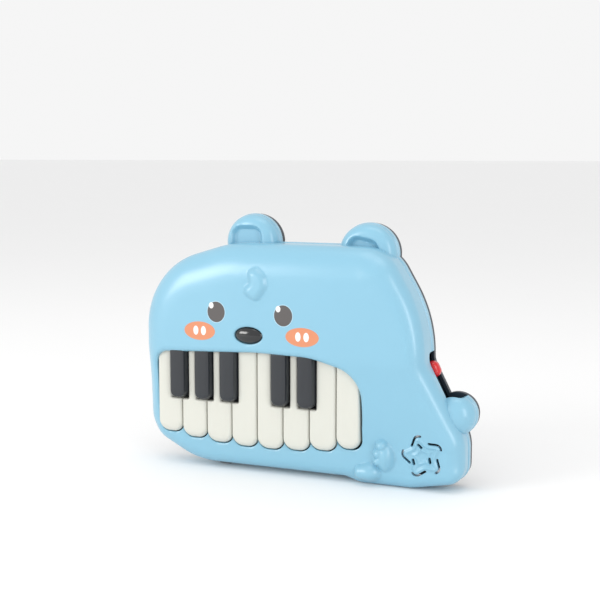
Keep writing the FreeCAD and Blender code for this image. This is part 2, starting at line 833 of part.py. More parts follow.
frameHoles += [
    post(f"standoff_pilot_{n}", x, z, "<smallShank>", "<frameBackY>", "<mainBoardY> + 1")
    for n, (x, z) in enumerate(boardPosts)
]
keyFrame = cutFrom(
    "key_frame",
    fused(
        "frame_form",
        [
            framePlate,
            hingeEar("left_lug", frameLeft, frameLeft + lugWidth),
            hingeEar("middle_lug", middleLug - 1.5, middleLug + 1.5),
            hingeEar("right_lug", frameRight - lugWidth, frameRight),
        ]
        + frameTabs
        + standoffs,
    ),
    fused("frame_cuts", [rodBore] + frameHoles),
)
rod = doc.addObject("Part::Cylinder", "key_pivot_rod")
rod.setExpression("Radius", bound("<rodRadius>"))
rod.Height = frameRight - frameLeft + 1
rod.Placement = FreeCAD.Placement(Vector(frameLeft - 0.5, 0, 0), FreeCAD.Rotation(Vector(0, 1, 0), 90))
rod.setExpression("Placement.Base.y", bound("<pivotY>"))
rod.setExpression("Placement.Base.z", bound("<pivotZ>"))

boardLeft, boardRight, boardLow, boardHigh = -103, 45, 30, 74
keyBoard = block("key_circuit_board", boardLeft, boardRight, "<boardY>", "<frameY>", boardLow, boardHigh)


def rubberDome(name, across, up):
    dome = doc.addObject("Part::Cone", name)
    dome.Radius1 = 4
    dome.Radius2 = 2.6
    dome.setExpression("Height", bound("<sheetY> - <domeY> + 0.4"))
    dome.Placement = FreeCAD.Placement(Vector(across, 0, up), FreeCAD.Rotation(Vector(1, 0, 0), 90))
    dome.setExpression("Placement.Base.y", bound("<sheetY> + 0.4"))
    return dome


domes = [rubberDome(f"white_dome_{n}", sum(whiteKeySides(n)) / 2, 38) for n in range(keyCount)]
domes += [rubberDome(f"black_dome_{n}", blackMiddle(gap), 62) for n, gap in enumerate(blackGaps)]
rubberSheet = fused(
    "rubber_contact_sheet",
    [block("rubber_base", boardLeft + 1, boardRight - 1, "<sheetY>", "<boardY>", boardLow + 1, boardHigh - 1)]
    + domes,
)
frameScrews = group(
    "frame_screws",
    [
        screw(f"frame_screw_{n}", x, z, "<smallShank>", "<smallHead>", "<frameBackY>", "<frameY> - 7", 1.2)
        for n, (x, z) in enumerate(framePosts)
    ],
)


# ---- main circuit board ----

mainBoard = cutFrom(
    "main_circuit_board",
    block("main_board_form", -60, 10, "<mainBoardY>", "<mainBoardY> + <boardThick>", 30, 80),
    fused(
        "main_board_holes",
        [post(f"main_board_hole_{n}", x, z, "<smallShank> + 0.2", "<mainBoardY> - 1", "<mainBoardY> + 3")
         for n, (x, z) in enumerate(boardPosts)],
    ),
)
mainBoardBack = "<mainBoardY> + <boardThick>"
soundChip = newBody("sound_chip_blob")
pad(soundChip, "sound_chip_drop", circle(-28, 56, 7), mainBoardBack, f"{mainBoardBack} + 1.8")
roundRim(soundChip, "sound_chip_round", 1, "1.2")
capacitors = group(
    "capacitors",
    [post(f"capacitor_{n}", x, z, "2.5", mainBoardBack, f"{mainBoardBack} + 6.4")
     for n, (x, z) in enumerate([(-8, 44), (-1, 44)])],
)
boardScrews = group(
    "board_screws",
    [
        screw(
            f"board_screw_{n}",
            x,
            z,
            "<smallShank>",
            "<smallHead>",
            mainBoardBack,
            "<frameBackY> + 0.5",
            1.2,
        )
        for n, (x, z) in enumerate(boardPosts)
    ]
    + [
        screw(
            f"nose_screw_{n}",
            x,
            z,
            "<smallShank>",
            "<smallHead>",
            "<noseBoardY> + 1.2",
            "<noseBoardY> - 4",
            1.2,
        )
        for n, (x, z) in enumerate(nosePosts)
    ],
)


# ---- nose button and its switch ----

noseButton = newBody("nose_button")
pad(noseButton, "nose_flange", oval(*nose, 11.8, 7.2), "<noseFlangeY>", "<noseBackY>")
pad(noseButton, "nose_front", oval(*nose, 10, 5.45), "<noseY>", "<noseFlangeY>")
roundRim(noseButton, "nose_round", -1, "1.2", lambda c: c.y < size("noseY") + 0.1)
pad(noseButton, "nose_stem", circle(*nose, 2), "<noseBackY>", "<noseStemY>")
nosePlunger = post("nose_switch_plunger", *nose, "1.5", "<noseStemY>", "<tactY> + 0.6")
noseSwitch = cutFrom(
    "nose_switch_body",
    block("nose_switch_form", nose[0] - 3, nose[0] + 3, "<tactY>", "<noseBoardY>", nose[1] - 3, nose[1] + 3),
    post("nose_switch_bore", *nose, "1.8", "<tactY> - 1", "<tactY> + 1.8"),
)
noseBoard = cutFrom(
    "nose_switch_board",
    block("nose_board_form", -47, -17, "<noseBoardY>", "<noseBoardY> + 1.2", 93.4, 108.5),
    fused(
        "nose_board_holes",
        [post(f"nose_board_hole_{n}", x, z, "<smallShank> + 0.2", "<noseBoardY> - 1", "<noseBoardY> + 3")
         for n, (x, z) in enumerate(nosePosts)],
    ),
)


# ---- power switch ----

knobLength = 10
knobStart = 1.8  # from the panel's top to the knob's top end, with the switch off
switchKnob = fused(
    "power_switch_knob",
    [
        waistBlock("knob_grip", knobStart, knobLength, -panelSink + 0.3, 3.6, "4.2", "10.8"),
        waistBlock("knob_stem", knobStart + 2, knobLength - 4, -panelSink - 4.5, 5, "6", "9"),
    ],
)
switchBody = cutFrom(
    "power_switch_body",
    waistBlock("switch_body_form", 0.5, 20, -panelSink - 8, 5.7, "3.4", "11.6"),
    waistBlock("switch_body_slot", 3.4, 12.8, -panelSink - 5.2, 6, "5.6", "9.4"),
)


# ---- speaker ----

def turned(label, profile):
    """Round piece on the speaker's axis, from (radius, depth) points."""
    body = newBody(label)
    sketch = newSketch(body, label + "_sketch", "XY_Plane", [], f"{star[1]}")
    corners = [Vector(star[0] + radius, depth, 0) for radius, depth in profile]
    for number, corner in enumerate(corners):
        sketch.addGeometry(Part.LineSegment(corner, corners[(number + 1) % len(corners)]), False)
    sketch.addGeometry(Part.LineSegment(Vector(star[0], -30, 0), Vector(star[0], 30, 0)), True)
    revolution = body.newObject("PartDesign::Revolution", label + "_turn")
    revolution.Profile = sketch
    revolution.ReferenceAxis = (sketch, ["Axis0"])
    revolution.Angle = 360
    return body


frontOfSpeaker = size("speakerY")
backOfBasket = size("clampY")
outer = size("speakerRadius")
speakerFrame = turned(
    "speaker_frame",
    [
        (outer, frontOfSpeaker),
        (outer, frontOfSpeaker + 1.2),
        (outer - 2, frontOfSpeaker + 1.2),
        (10, backOfBasket),
        (4, backOfBasket),
        (4, backOfBasket - 1),
        (9.3, backOfBasket - 1),
        (outer - 3, frontOfSpeaker + 1),
        (outer - 2.4, frontOfSpeaker),
    ],
)
speakerCone = turned(
    "speaker_cone",
    [
        (outer - 3.2, frontOfSpeaker + 0.4),
        (outer - 3.8, frontOfSpeaker + 0.4),
        (4.2, frontOfSpeaker + 3.4),
        (0, frontOfSpeaker + 2.4),
        (0, frontOfSpeaker + 3),
        (3.9, frontOfSpeaker + 4),
        (outer - 3.8, frontOfSpeaker + 0.9),
    ],
)
speakerMagnet = newBody("speaker_magnet")
pad(speakerMagnet, "speaker_magnet_disc", circle(*star, size("magnetRadius")), "<clampY>", "<clampY> + 5")
roundRim(speakerMagnet, "speaker_magnet_edge", 1, "0.6")
clampBar = newBody("clamp_bar")
pad(clampBar, "clamp_bar_pad", rectangle(62.4, 108.4, 19.6, 27.2, 3.6), "<clampY>", "<clampY> + 1.6")
speakerClamp = cutFrom(
    "speaker_clamp",
    fused("clamp_form", [clampBar, post("clamp_ring", *star, "12.5", "<clampY>", "<clampY> + 1.6")]),
    fused(
        "clamp_holes",
        [post("clamp_middle", *star, "<magnetRadius>", "<clampY> - 1", "<clampY> + 3")]
        + [post(f"clamp_hole_{n}", x, z, "<smallShank> + 0.2", "<clampY> - 1", "<clampY> + 3")
           for n, (x, z) in enumerate(clampPosts)],
    ),
)
clampScrews = group(
    "clamp_screws",
    [
        screw(f"clamp_screw_{n}", x, z, "<smallShank>", "<smallHead>", "<clampY> + 1.6", "<clampY> - 5", 1.2)
        for n, (x, z) in enumerate(clampPosts)
    ],
)


# ---- wires ----

wireRadius = 0.7


def wire(label, points):
    """Insulated wire: straight runs joined by tangent arcs as large as the runs allow."""
    corners = [Vector(*point) for point in points]
    edges = []
    start = corners[0]
    for before, here, after in zip(corners, corners[1:], corners[2:]):
        back = before - here
        on = after - here
        half = back.getAngle(on) / 2
        reach = 0.45 * min(back.Length, on.Length)
        radius = reach * math.tan(half)
        back.normalize()
        on.normalize()
        inward = back + on
        inward.normalize()
        middle = here + inward * (radius / math.sin(half) - radius)
        edges.append(Part.LineSegment(start, here + back * reach).toShape())
        edges.append(Part.Arc(here + back * reach, middle, here + on * reach).toShape())
        start = here + on * reach
    edges.append(Part.LineSegment(start, corners[-1]).toShape())
    path = Part.Wire(edges)
    section = Part.Wire(Part.Circle(corners[0], corners[1] - corners[0], wireRadius).toShape())
    lead = doc.addObject("Part::Feature", label)
    lead.Label = label
    lead.Shape = path.makePipeShell([section], True, False)
    return lead


boardBack = size("mainBoardY") + size("boardThick")
batteryLead = wire("battery_lead", [(2, 14, boxLow), (2.5, 14.5, 88), (2, 14, 70), (2, boardBack, 70)])
speakerLead = wire(
    "speaker_lead",
    [(star[0], size("speakerY") + 1.2, 37.6), (84, 6, 38), (72, 12, 40), (45, 12.5, 38), (16, 13.5, 42),
     (2, 13.5, 40), (2, boardBack, 40)],
)
switchEnd = waistTop + waistDown * 10.5 + waistOut * (-panelSink - 8)
switchLead = wire(
    "switch_lead",
    [
        (switchEnd.x, 7.5, switchEnd.z),
        (70, 9, 66),
        (48, 13, 64),
        (20, 13.5, 58),
        (2, 13.5, 60),
        (2, boardBack, 60),
    ],
)
ribbon = newBody("ribbon_cable")
ribbonSide = [
    (2.8, boardLow, 0), (3.4, boardLow, 0), (3.4, 24.8, 0.4), (9.5, 24.8, 0.4),
    (9.5, boardLow, 0), (10.1, boardLow, 0), (10.1, 24.2, 1), (2.8, 24.2, 1),
]
padAcross(ribbon, "ribbon_strip", roundedLoop(ribbonSide), -40, -20)


# ---- screws and foot ----

housingScrews = group(
    "housing_screws",
    [
        screw(f"housing_screw_{n}", x, z, "<shankRadius>", "<headRadius>", "<headSeatY>", "3", 2)
        for n, (x, z) in enumerate(housingPosts)
    ],
)
footPad = newBody("foot_pad")
padAcross(
    footPad,
    "foot_pad_block",
    roundedLoop([(5.5, 0, 1), (5.5, 3.2, 0), (19, 3.2, 0), (19, 0, 1)]),
    "-67",
    "-59",
)

doc.recompute()

nodes = (
    [frontShell, backShell, keyFrame, rod, rubberSheet, keyBoard, mainBoard, soundChip, capacitors]
    + whiteKeys
    + blackKeys
    + [noseButton, nosePlunger, noseSwitch, noseBoard, switchKnob, switchBody]
    + [speakerFrame, speakerCone, speakerMagnet, speakerClamp, clampScrews]
    + [batteryDoor, doorScrew, batteryContacts, batterySprings]
    + cells
    + [batteryLead, speakerLead, switchLead, ribbon]
    + [housingScrews, frameScrews, boardScrews, footPad]
)

problems = []
for item in doc.Objects:
    if "Invalid" in item.State or "Error" in item.State:
        problems.append(f"{item.Label}: {item.State}")
    if item.TypeId == "PartDesign::Pocket" and item.BaseFeature:
        if item.Shape.Volume > item.BaseFeature.Shape.Volume - 0.01:
            problems.append(f"{item.Label} cuts nothing")
for node in nodes:
    if node.Shape.isNull() or not node.Shape.isValid():
        problems.append(f"{node.Label} has no valid shape")
if problems:
    raise SystemExit("\n".join(problems))

os.makedirs("parts", exist_ok=True)
for node in nodes:
    node.Shape.exportStep(f"parts/{node.Label}.step")
    print(node.Label, len(node.Shape.Solids), "solid(s)", round(node.Shape.Volume / 1000, 2), "cm3")
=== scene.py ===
import math

import bmesh
import bpy
import numpy as np
from mathutils import Matrix, Vector
from mathutils.geometry import delaunay_2d_cdt


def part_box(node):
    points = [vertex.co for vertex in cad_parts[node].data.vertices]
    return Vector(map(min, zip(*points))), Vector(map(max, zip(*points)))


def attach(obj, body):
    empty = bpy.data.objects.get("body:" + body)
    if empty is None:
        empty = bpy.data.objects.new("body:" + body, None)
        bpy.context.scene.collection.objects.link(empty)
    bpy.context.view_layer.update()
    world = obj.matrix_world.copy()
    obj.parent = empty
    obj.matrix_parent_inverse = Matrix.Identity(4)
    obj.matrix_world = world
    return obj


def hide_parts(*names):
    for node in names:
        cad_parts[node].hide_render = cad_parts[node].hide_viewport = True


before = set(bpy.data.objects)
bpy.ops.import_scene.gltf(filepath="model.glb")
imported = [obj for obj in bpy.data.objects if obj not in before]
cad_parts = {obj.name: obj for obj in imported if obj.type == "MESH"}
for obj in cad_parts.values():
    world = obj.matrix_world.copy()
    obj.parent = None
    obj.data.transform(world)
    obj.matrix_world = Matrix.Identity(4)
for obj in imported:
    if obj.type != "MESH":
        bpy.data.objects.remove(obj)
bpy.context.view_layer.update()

# A bear-shaped toy keyboard. Lengths are in millimetres here and become metres when a mesh is made.
# Plans are drawn as (across, up); a third number in a corner is its rounding.
mm = 0.001
# A shorter step than this is dropped from a run.
shortestStep = 0.06
# How near a plan's spots may stand to rings, roundings, holes and each other, as shares of the spacing.
nearness = dict(ring=0.6, rounding=0.4, outline=0.5, hole=0.7, spots=0.28)


# A run of points round corners, with the roundings and straights divided at about the step.
def roundedRun(corners, step=1.5, closed=True):
    spots = []
    count = len(corners)
    for i, corner in enumerate(corners):
        here = np.array(corner[:2], float)
        if len(corner) < 3 or (not closed and i in (0, count - 1)):
            spots.append(here)
            continue
        before = np.array(corners[i - 1][:2], float) - here
        after = np.array(corners[(i + 1) % count][:2], float) - here
        before /= np.linalg.norm(before)
        after /= np.linalg.norm(after)
        half = math.acos(np.clip(before @ after, -1, 1)) / 2
        middle = here + (before + after) / np.linalg.norm(before + after) * corner[2] / math.sin(half)
        start = here + before * corner[2] / math.tan(half) - middle
        end = here + after * corner[2] / math.tan(half) - middle
        first = math.atan2(start[1], start[0])
        turn = (math.atan2(end[1], end[0]) - first + math.pi) % (2 * math.pi) - math.pi
        pieces = max(3, math.ceil(abs(turn) * corner[2] / step))
        for k in range(pieces + 1):
            angle = first + turn * k / pieces
            spots.append(middle + corner[2] * np.array([math.cos(angle), math.sin(angle)]))
    return divided(np.array(spots), step, closed)


def divided(spots, step, closed=True):
    ends = np.roll(spots, -1, 0) if closed else spots[1:]
    full = []
    for start, end in zip(spots, ends):
        length = np.linalg.norm(end - start)
        if length < shortestStep:
            continue
        for k in range(max(1, round(length / step))):
            full.append(start + (end - start) * k / max(1, round(length / step)))
    if not closed:
        full.append(spots[-1])
    return np.array(full)


def oval(middle, across, up, count=64):
    angles = np.arange(count) / count * 2 * math.pi
    return np.column_stack([middle[0] + across * np.cos(angles), middle[1] + up * np.sin(angles)])


# A rectangle's corners. The first rounding is for the low ones, the second for the high ones.
def rectangle(left, right, low, high, lowRound, highRound=None):
    highEnd = (highRound,) if highRound else ()
    return [(left, low, lowRound), (right, low, lowRound), (right, high) + highEnd, (left, high) + highEnd]


# Evens out values carried round a closed run.
def softened(values, times):
    for _ in range(times):
        values = (np.roll(values, 1) + 2 * values + np.roll(values, -1)) / 4
    return values


# Unit directions out of a closed run, one for each point.
def outward(loop):
    ahead = np.roll(loop, -1, 0) - loop
    ahead /= np.linalg.norm(ahead, axis=1)[:, None]
    along = ahead + np.roll(ahead, 1, 0)
    along /= np.linalg.norm(along, axis=1)[:, None]
    area = (loop[:, 0] * np.roll(loop[:, 1], -1) - np.roll(loop[:, 0], -1) * loop[:, 1]).sum()
    return np.column_stack([along[:, 1], -along[:, 0]]) * np.sign(area)


# Distance from each spot to a run, and a value carried along the run to the nearest place on it.
def nearest(spots, loop, carried=None):
    edge = np.roll(loop, -1, 0) - loop
    size = (edge**2).sum(1)
    carried = np.zeros(len(loop)) if carried is None else carried
    ahead = np.roll(carried, -1)
    distance, value = [], []
    for chunk in range(0, len(spots), 3000):
        away = spots[chunk : chunk + 3000, None, :] - loop
        along = np.clip((away * edge).sum(2) / size, 0, 1)
        gap = np.hypot(away[..., 0] - along * edge[:, 0], away[..., 1] - along * edge[:, 1])
        best = gap.argmin(1)
        rows = np.arange(len(best))
        share = along[rows, best]
        distance.append(gap[rows, best])
        value.append(carried[best] * (1 - share) + ahead[best] * share)
    if not distance:
        return np.zeros(0), np.zeros(0)
    return np.concatenate(distance), np.concatenate(value)


def inside(spots, loop):
    after = np.roll(loop, -1, 0)
    found = np.zeros(len(spots), bool)
    for a, b in zip(loop, after):
        if a[1] == b[1]:
            continue
        between = (spots[:, 1] >= min(a[1], b[1])) & (spots[:, 1] < max(a[1], b[1]))
        found ^= between & (spots[:, 0] < a[0] + (spots[:, 1] - a[1]) / (b[1] - a[1]) * (b[0] - a[0]))
    return found


# Distance into a closed run: positive inside it and negative outside.
def depthInto(spots, loop):
    distance, _ = nearest(spots, loop)
    return np.where(inside(spots, loop), distance, -distance)


def honeycomb(low, high, spacing):
    rows = np.arange(low[1], high[1], spacing * 0.866)
    columns = np.arange(low[0], high[0], spacing)
    return np.array([(x + (r % 2) * spacing / 2, z) for r, z in enumerate(rows) for x in columns])


# How far a rounded edge has dropped, at a distance in from it.
def edgeDrop(distance, radius, depth):
    rest = np.clip(1 - distance / radius, 0, 1)
    return depth * (1 - np.sqrt(np.clip(1 - rest**2, 0, 1)))


def ramp(value):
    value = np.clip(value, 0, 1)
    return value * value * (3 - 2 * value)


# One depth everywhere on a plan.
def flat(depth):
    return lambda spots: np.full(len(spots), float(depth))


# The lower of two depths, joined by a soft valley.
def softLeast(first, second, blend):
    share = np.clip(0.5 + (second - first) / (2 * blend), 0, 1)
    return second * (1 - share) + first * share - blend * share * (1 - share)


# Joins loops and the spots between them into triangles. The first loop is the outline and the others are holes.
def triangulate(loops, fill):
    spots = np.vstack(loops + ([fill] if len(fill) else []))
    edges, start = [], 0
    for loop in loops:
        edges += [(start + i, start + (i + 1) % len(loop)) for i in range(len(loop))]
        start += len(loop)
    corners, _, faces, origins, _, _ = delaunay_2d_cdt([Vector(p) for p in spots], edges, [], 0, 1e-6)
    names = [origin[0] if origin else -1 for origin in origins]
    if len(corners) > len(spots) or -1 in names:
        raise ValueError("two runs of a plan cross")
    faces = np.array([[names[i] for i in face] for face in faces])
    # regions between the runs are kept or dropped whole, by where their largest face lies
    group = regions(faces.tolist(), {frozenset(edge) for edge in edges})
    a, b, c = (spots[faces[:, k]] for k in range(3))
    area = np.abs((b[:, 0] - a[:, 0]) * (c[:, 1] - a[:, 1]) - (b[:, 1] - a[:, 1]) * (c[:, 0] - a[:, 0]))
    keep = np.zeros(len(faces), bool)
    for number in np.unique(group):
        members = np.flatnonzero(group == number)
        if area[members].max() < 0.01:
            continue
        middle = spots[faces[members[area[members].argmax()]]].mean(0)[None]
        keep[members] = inside(middle, loops[0])[0] and not any(inside(middle, hole)[0] for hole in loops[1:])
    return spots, faces[keep]


# Numbers the groups of faces that can be reached from each other without crossing a fixed edge.
def regions(faces, fixed):
    parent = list(range(len(faces)))

    def root(i):
        while parent[i] != i:
            parent[i] = parent[parent[i]]
            i = parent[i]
        return i

    owner = {}
    for i, (a, b, c) in enumerate(faces):
        for side in (frozenset((a, b)), frozenset((b, c)), frozenset((c, a))):
            if side in fixed:
                continue
            if side in owner:
                parent[root(i)] = root(owner[side])
            else:
                owner[side] = i
    return np.array([root(i) for i in range(len(faces))])


# Spots that follow a loop inwards or outwards at the given distances, where nothing else is nearer.
def followers(loop, normals, distances, others, gap):
    found = []
    for distance in distances:
        ring = loop + normals * np.reshape(distance, (-1, 1))
        reach, _ = nearest(ring, loop)
        keep = reach > np.broadcast_to(distance, len(loop)) * 0.97
        for other in others:
            keep &= nearest(ring, other)[0] > gap
        found.append(ring[keep])
    return found


# Fills a plan: rings along its outline and its holes, a honeycomb between, and finer round patches.
# A patch is (middle, reach, spacing). edge and lip are how wide the roundings at the outline and the holes are.
def filling(outer, holes, spacing, edge, lip, patches=()):
    steps = [1 - math.cos(math.radians(angle)) for angle in (9, 18, 28, 38, 48, 59, 70, 80)]
    edge = np.broadcast_to(edge, len(outer))
    gap = spacing * nearness["ring"]
    found = followers(outer, -outward(outer), [edge * s for s in steps], holes, gap)
    for i, hole in enumerate(holes):
        size = np.broadcast_to(lip[i], len(hole))
        others = [outer] + holes[:i] + holes[i + 1 :]
        found += followers(hole, outward(hole), [size * s for s in steps[2::2] + [1]], others, gap)
    rings = np.vstack(found)
    grid = honeycomb(outer.min(0), outer.max(0), spacing)
    distance, width = nearest(grid, outer, edge.astype(float))
    keep = inside(grid, outer) & (distance > width + spacing * nearness["rounding"])
    for i, hole in enumerate(holes):
        distance, width = nearest(grid, hole, np.broadcast_to(lip[i], len(hole)).astype(float))
        keep &= ~inside(grid, hole) & (distance > width + spacing * nearness["rounding"])
    for middle, reach, _ in patches:
        keep &= np.hypot(*(grid - middle).T) > reach
    found = [rings, grid[keep]]
    for middle, reach, fine in patches:
        dense = honeycomb(np.subtract(middle, reach), np.add(middle, reach), fine)
        keep = (np.hypot(*(dense - middle).T) < reach - fine * nearness["rounding"]) & inside(dense, outer)
        keep &= nearest(dense, outer)[0] > spacing * nearness["outline"]
        for hole in holes:
            keep &= ~inside(dense, hole) & (nearest(dense, hole)[0] > fine * nearness["hole"])
        found.append(dense[keep])
    return thinned(np.vstack(found), spacing * nearness["spots"])


# Drops a spot that is nearer than the gap to one already kept.
def thinned(spots, gap):
    kept, cells = [], {}
    for spot in spots:
        cell = (int(spot[0] // gap), int(spot[1] // gap))
        crowd = [cells.get((cell[0] + i, cell[1] + j)) for i in (-1, 0, 1) for j in (-1, 0, 1)]
        near = [other for other in crowd if other is not None]
        if any(abs(other[0] - spot[0]) + abs(other[1] - spot[1]) < gap for other in near):
            continue
        cells[cell] = spot
        kept.append(spot)
    return np.array(kept)


def strip(faces, first, second):
    count = len(first)
    for i in range(count):
        j = (i + 1) % count
        faces.append((first[i], first[j], second[j], second[i]))


# A closed moulding over a plan: front and back give depths over it, and side lists (out, depth) down its wall.
# With a wall it is hollow from behind, and its back surface stands in by the wall.
def moulding(name, plan, place=None):
    outer = plan["outer"]
    holes = plan.get("holes", [])
    lips = plan.get("lips", [])
    spacing = plan["spacing"]
    fill = filling(outer, holes, spacing, plan["edge"], lips, plan.get("patches", ()))
    spots, faces = triangulate([outer] + holes, fill)
    points = [np.column_stack([spots, plan["front"](spots)])]
    faces = [tuple(face) for face in faces]
    last = list(range(len(outer)))
    normals = outward(outer)
    total = len(spots)
    for out, depth in plan["side"]:
        points.append(np.column_stack([outer + normals * out, np.full(len(outer), float(depth))]))
        ring = list(range(total, total + len(outer)))
        total += len(outer)
        strip(faces, last, ring)
        last = ring
    wall = plan.get("wall", 0)
    rim = outer - normals * wall
    if wall:
        points.append(np.column_stack([rim, np.full(len(rim), float(plan["side"][-1][1]))]))
        ring = list(range(total, total + len(rim)))
        total += len(rim)
        strip(faces, last, ring)
        last = ring
    else:
        rim = outer + normals * plan["side"][-1][0]
    backFill = filling(rim, holes, spacing * 2, plan.get("backEdge", 1.0), lips)
    backSpots, backFaces = triangulate([rim] + holes, backFill)
    if wall:
        points.append(np.column_stack([backSpots, plan["back"](backSpots)]))
        faces += [tuple(int(i) + total for i in face) for face in backFaces]
        strip(faces, last, list(range(total, total + len(rim))))
        start = total
    else:
        # the last ring of the wall is the rim of the back surface
        points.append(np.column_stack([backSpots[len(rim) :], plan["back"](backSpots[len(rim) :])]))
        start = total - len(rim)
        faces += [tuple(last[i] if i < len(rim) else int(i) + start for i in face) for face in backFaces]
    offset = len(outer)
    for hole in holes:
        ahead = list(range(offset, offset + len(hole)))
        strip(faces, ahead, [i + start for i in ahead])
        offset += len(hole)
    return meshFrom(name, np.vstack(points), faces, place)


# A moulding without a hollow, and with a flat back.
def solid(name, outer, front, back, spacing, edge, side=None, place=None, **more):
    plan = dict(outer=outer, front=front, back=flat(back), spacing=spacing, edge=edge, side=side or [(0, back)])
    return moulding(name, {**plan, **more}, place)


# Stands a plan up: its depth runs front to back.
def standing(points):
    return np.column_stack([points[:, 0], points[:, 2], points[:, 1]])


def meshFrom(name, points, faces, place=None):
    mesh = bpy.data.meshes.new(name)
    mesh.from_pydata(((place or standing)(points) * mm).tolist(), [], faces)
    bm = bmesh.new()
    bm.from_mesh(mesh)
    bmesh.ops.remove_doubles(bm, verts=bm.verts, dist=1e-7)
    bmesh.ops.recalc_face_normals(bm, faces=bm.faces)
    bm.to_mesh(mesh)
    bm.free()
    return mesh


def objectFrom(mesh, name, material, smooth=38):
    mesh.shade_smooth()
    mesh.set_sharp_from_angle(angle=math.radians(smooth))
    piece = bpy.data.objects.new(name, mesh)
    bpy.context.scene.collection.objects.link(piece)
    piece.data.materials.clear()
    piece.data.materials.append(material)
    return piece


def finish(piece, body, slot, *nodes):
    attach(piece, body)
    if nodes:
        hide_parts(*nodes)


def joinMeshes(name, meshes):
    bm = bmesh.new()
    for mesh in meshes:
        bm.from_mesh(mesh)
    joined = bpy.data.meshes.new(name)
    bm.to_mesh(joined)
    bm.free()
    return joined


# One closed mesh from two, by union or by taking the second away.
def combine(first, second, operation):
    base = bpy.data.objects.new("base", first)
    tool = bpy.data.objects.new("tool", second)
    for part in (base, tool):
        bpy.context.scene.collection.objects.link(part)
    change = base.modifiers.new("combine", "BOOLEAN")
    change.operation = operation
    change.solver = "MANIFOLD"
    change.object = tool
    bpy.context.view_layer.update()
    graph = bpy.context.evaluated_depsgraph_get()
    result = bpy.data.meshes.new_from_object(base.evaluated_get(graph))
    result.materials.clear()
    bpy.data.objects.remove(base)
    bpy.data.objects.remove(tool)
    return result


def tone(red, green, blue):
    def linear(value):
        value /= 255
        return value / 12.92 if value <= 0.04045 else ((value + 0.055) / 1.055) ** 2.4

    return (linear(red), linear(green), linear(blue), 1)


# A moulded plastic: a faint cloudiness in its colour, uneven sheen, and a fine texture in its surface.
def mouldedPlastic(name, look):
    material = bpy.data.materials.new(name)
    material.use_nodes = True
    nodes, links = material.node_tree.nodes, material.node_tree.links
    shader = nodes["Principled BSDF"]
    where = nodes.new("ShaderNodeTexCoord").outputs["Object"]

    def noise(scale, detail):
        node = nodes.new("ShaderNodeTexNoise")
        node.inputs["Scale"].default_value = scale
        node.inputs["Detail"].default_value = detail
        links.new(where, node.inputs["Vector"])
        return node.outputs["Fac"]

    shader.inputs["Coat Weight"].default_value = look.get("coat", 0)
    shader.inputs["Coat Roughness"].default_value = look.get("coatRoughness", 0.1)
    shader.inputs["Metallic"].default_value = look.get("metal", 0)
    cloud = noise(look.get("cloudScale", 60), 3)
    tint = nodes.new("ShaderNodeMix")
    tint.data_type = "RGBA"
    shade = look.get("shade", 0.95)
    tint.inputs["A"].default_value = tuple(c * shade for c in look["colour"][:3]) + (1,)
    tint.inputs["B"].default_value = look["colour"]
    links.new(cloud, tint.inputs["Factor"])
    links.new(tint.outputs["Result"], shader.inputs["Base Color"])
    sheen = nodes.new("ShaderNodeMapRange")
    sheen.inputs["To Min"].default_value = look.get("roughness", 0.4) - 0.04
    sheen.inputs["To Max"].default_value = look.get("roughness", 0.4) + 0.04
    links.new(cloud, sheen.inputs["Value"])
    links.new(sheen.outputs["Result"], shader.inputs["Roughness"])
    bump = nodes.new("ShaderNodeBump")
    bump.inputs["Strength"].default_value = look.get("grain", 0.12)
    bump.inputs["Distance"].default_value = look.get("grainDepth", 0.00004)
    links.new(noise(look.get("grainScale", 2200), 2), bump.inputs["Height"])
    links.new(bump.outputs["Normal"], shader.inputs["Normal"])
    return material


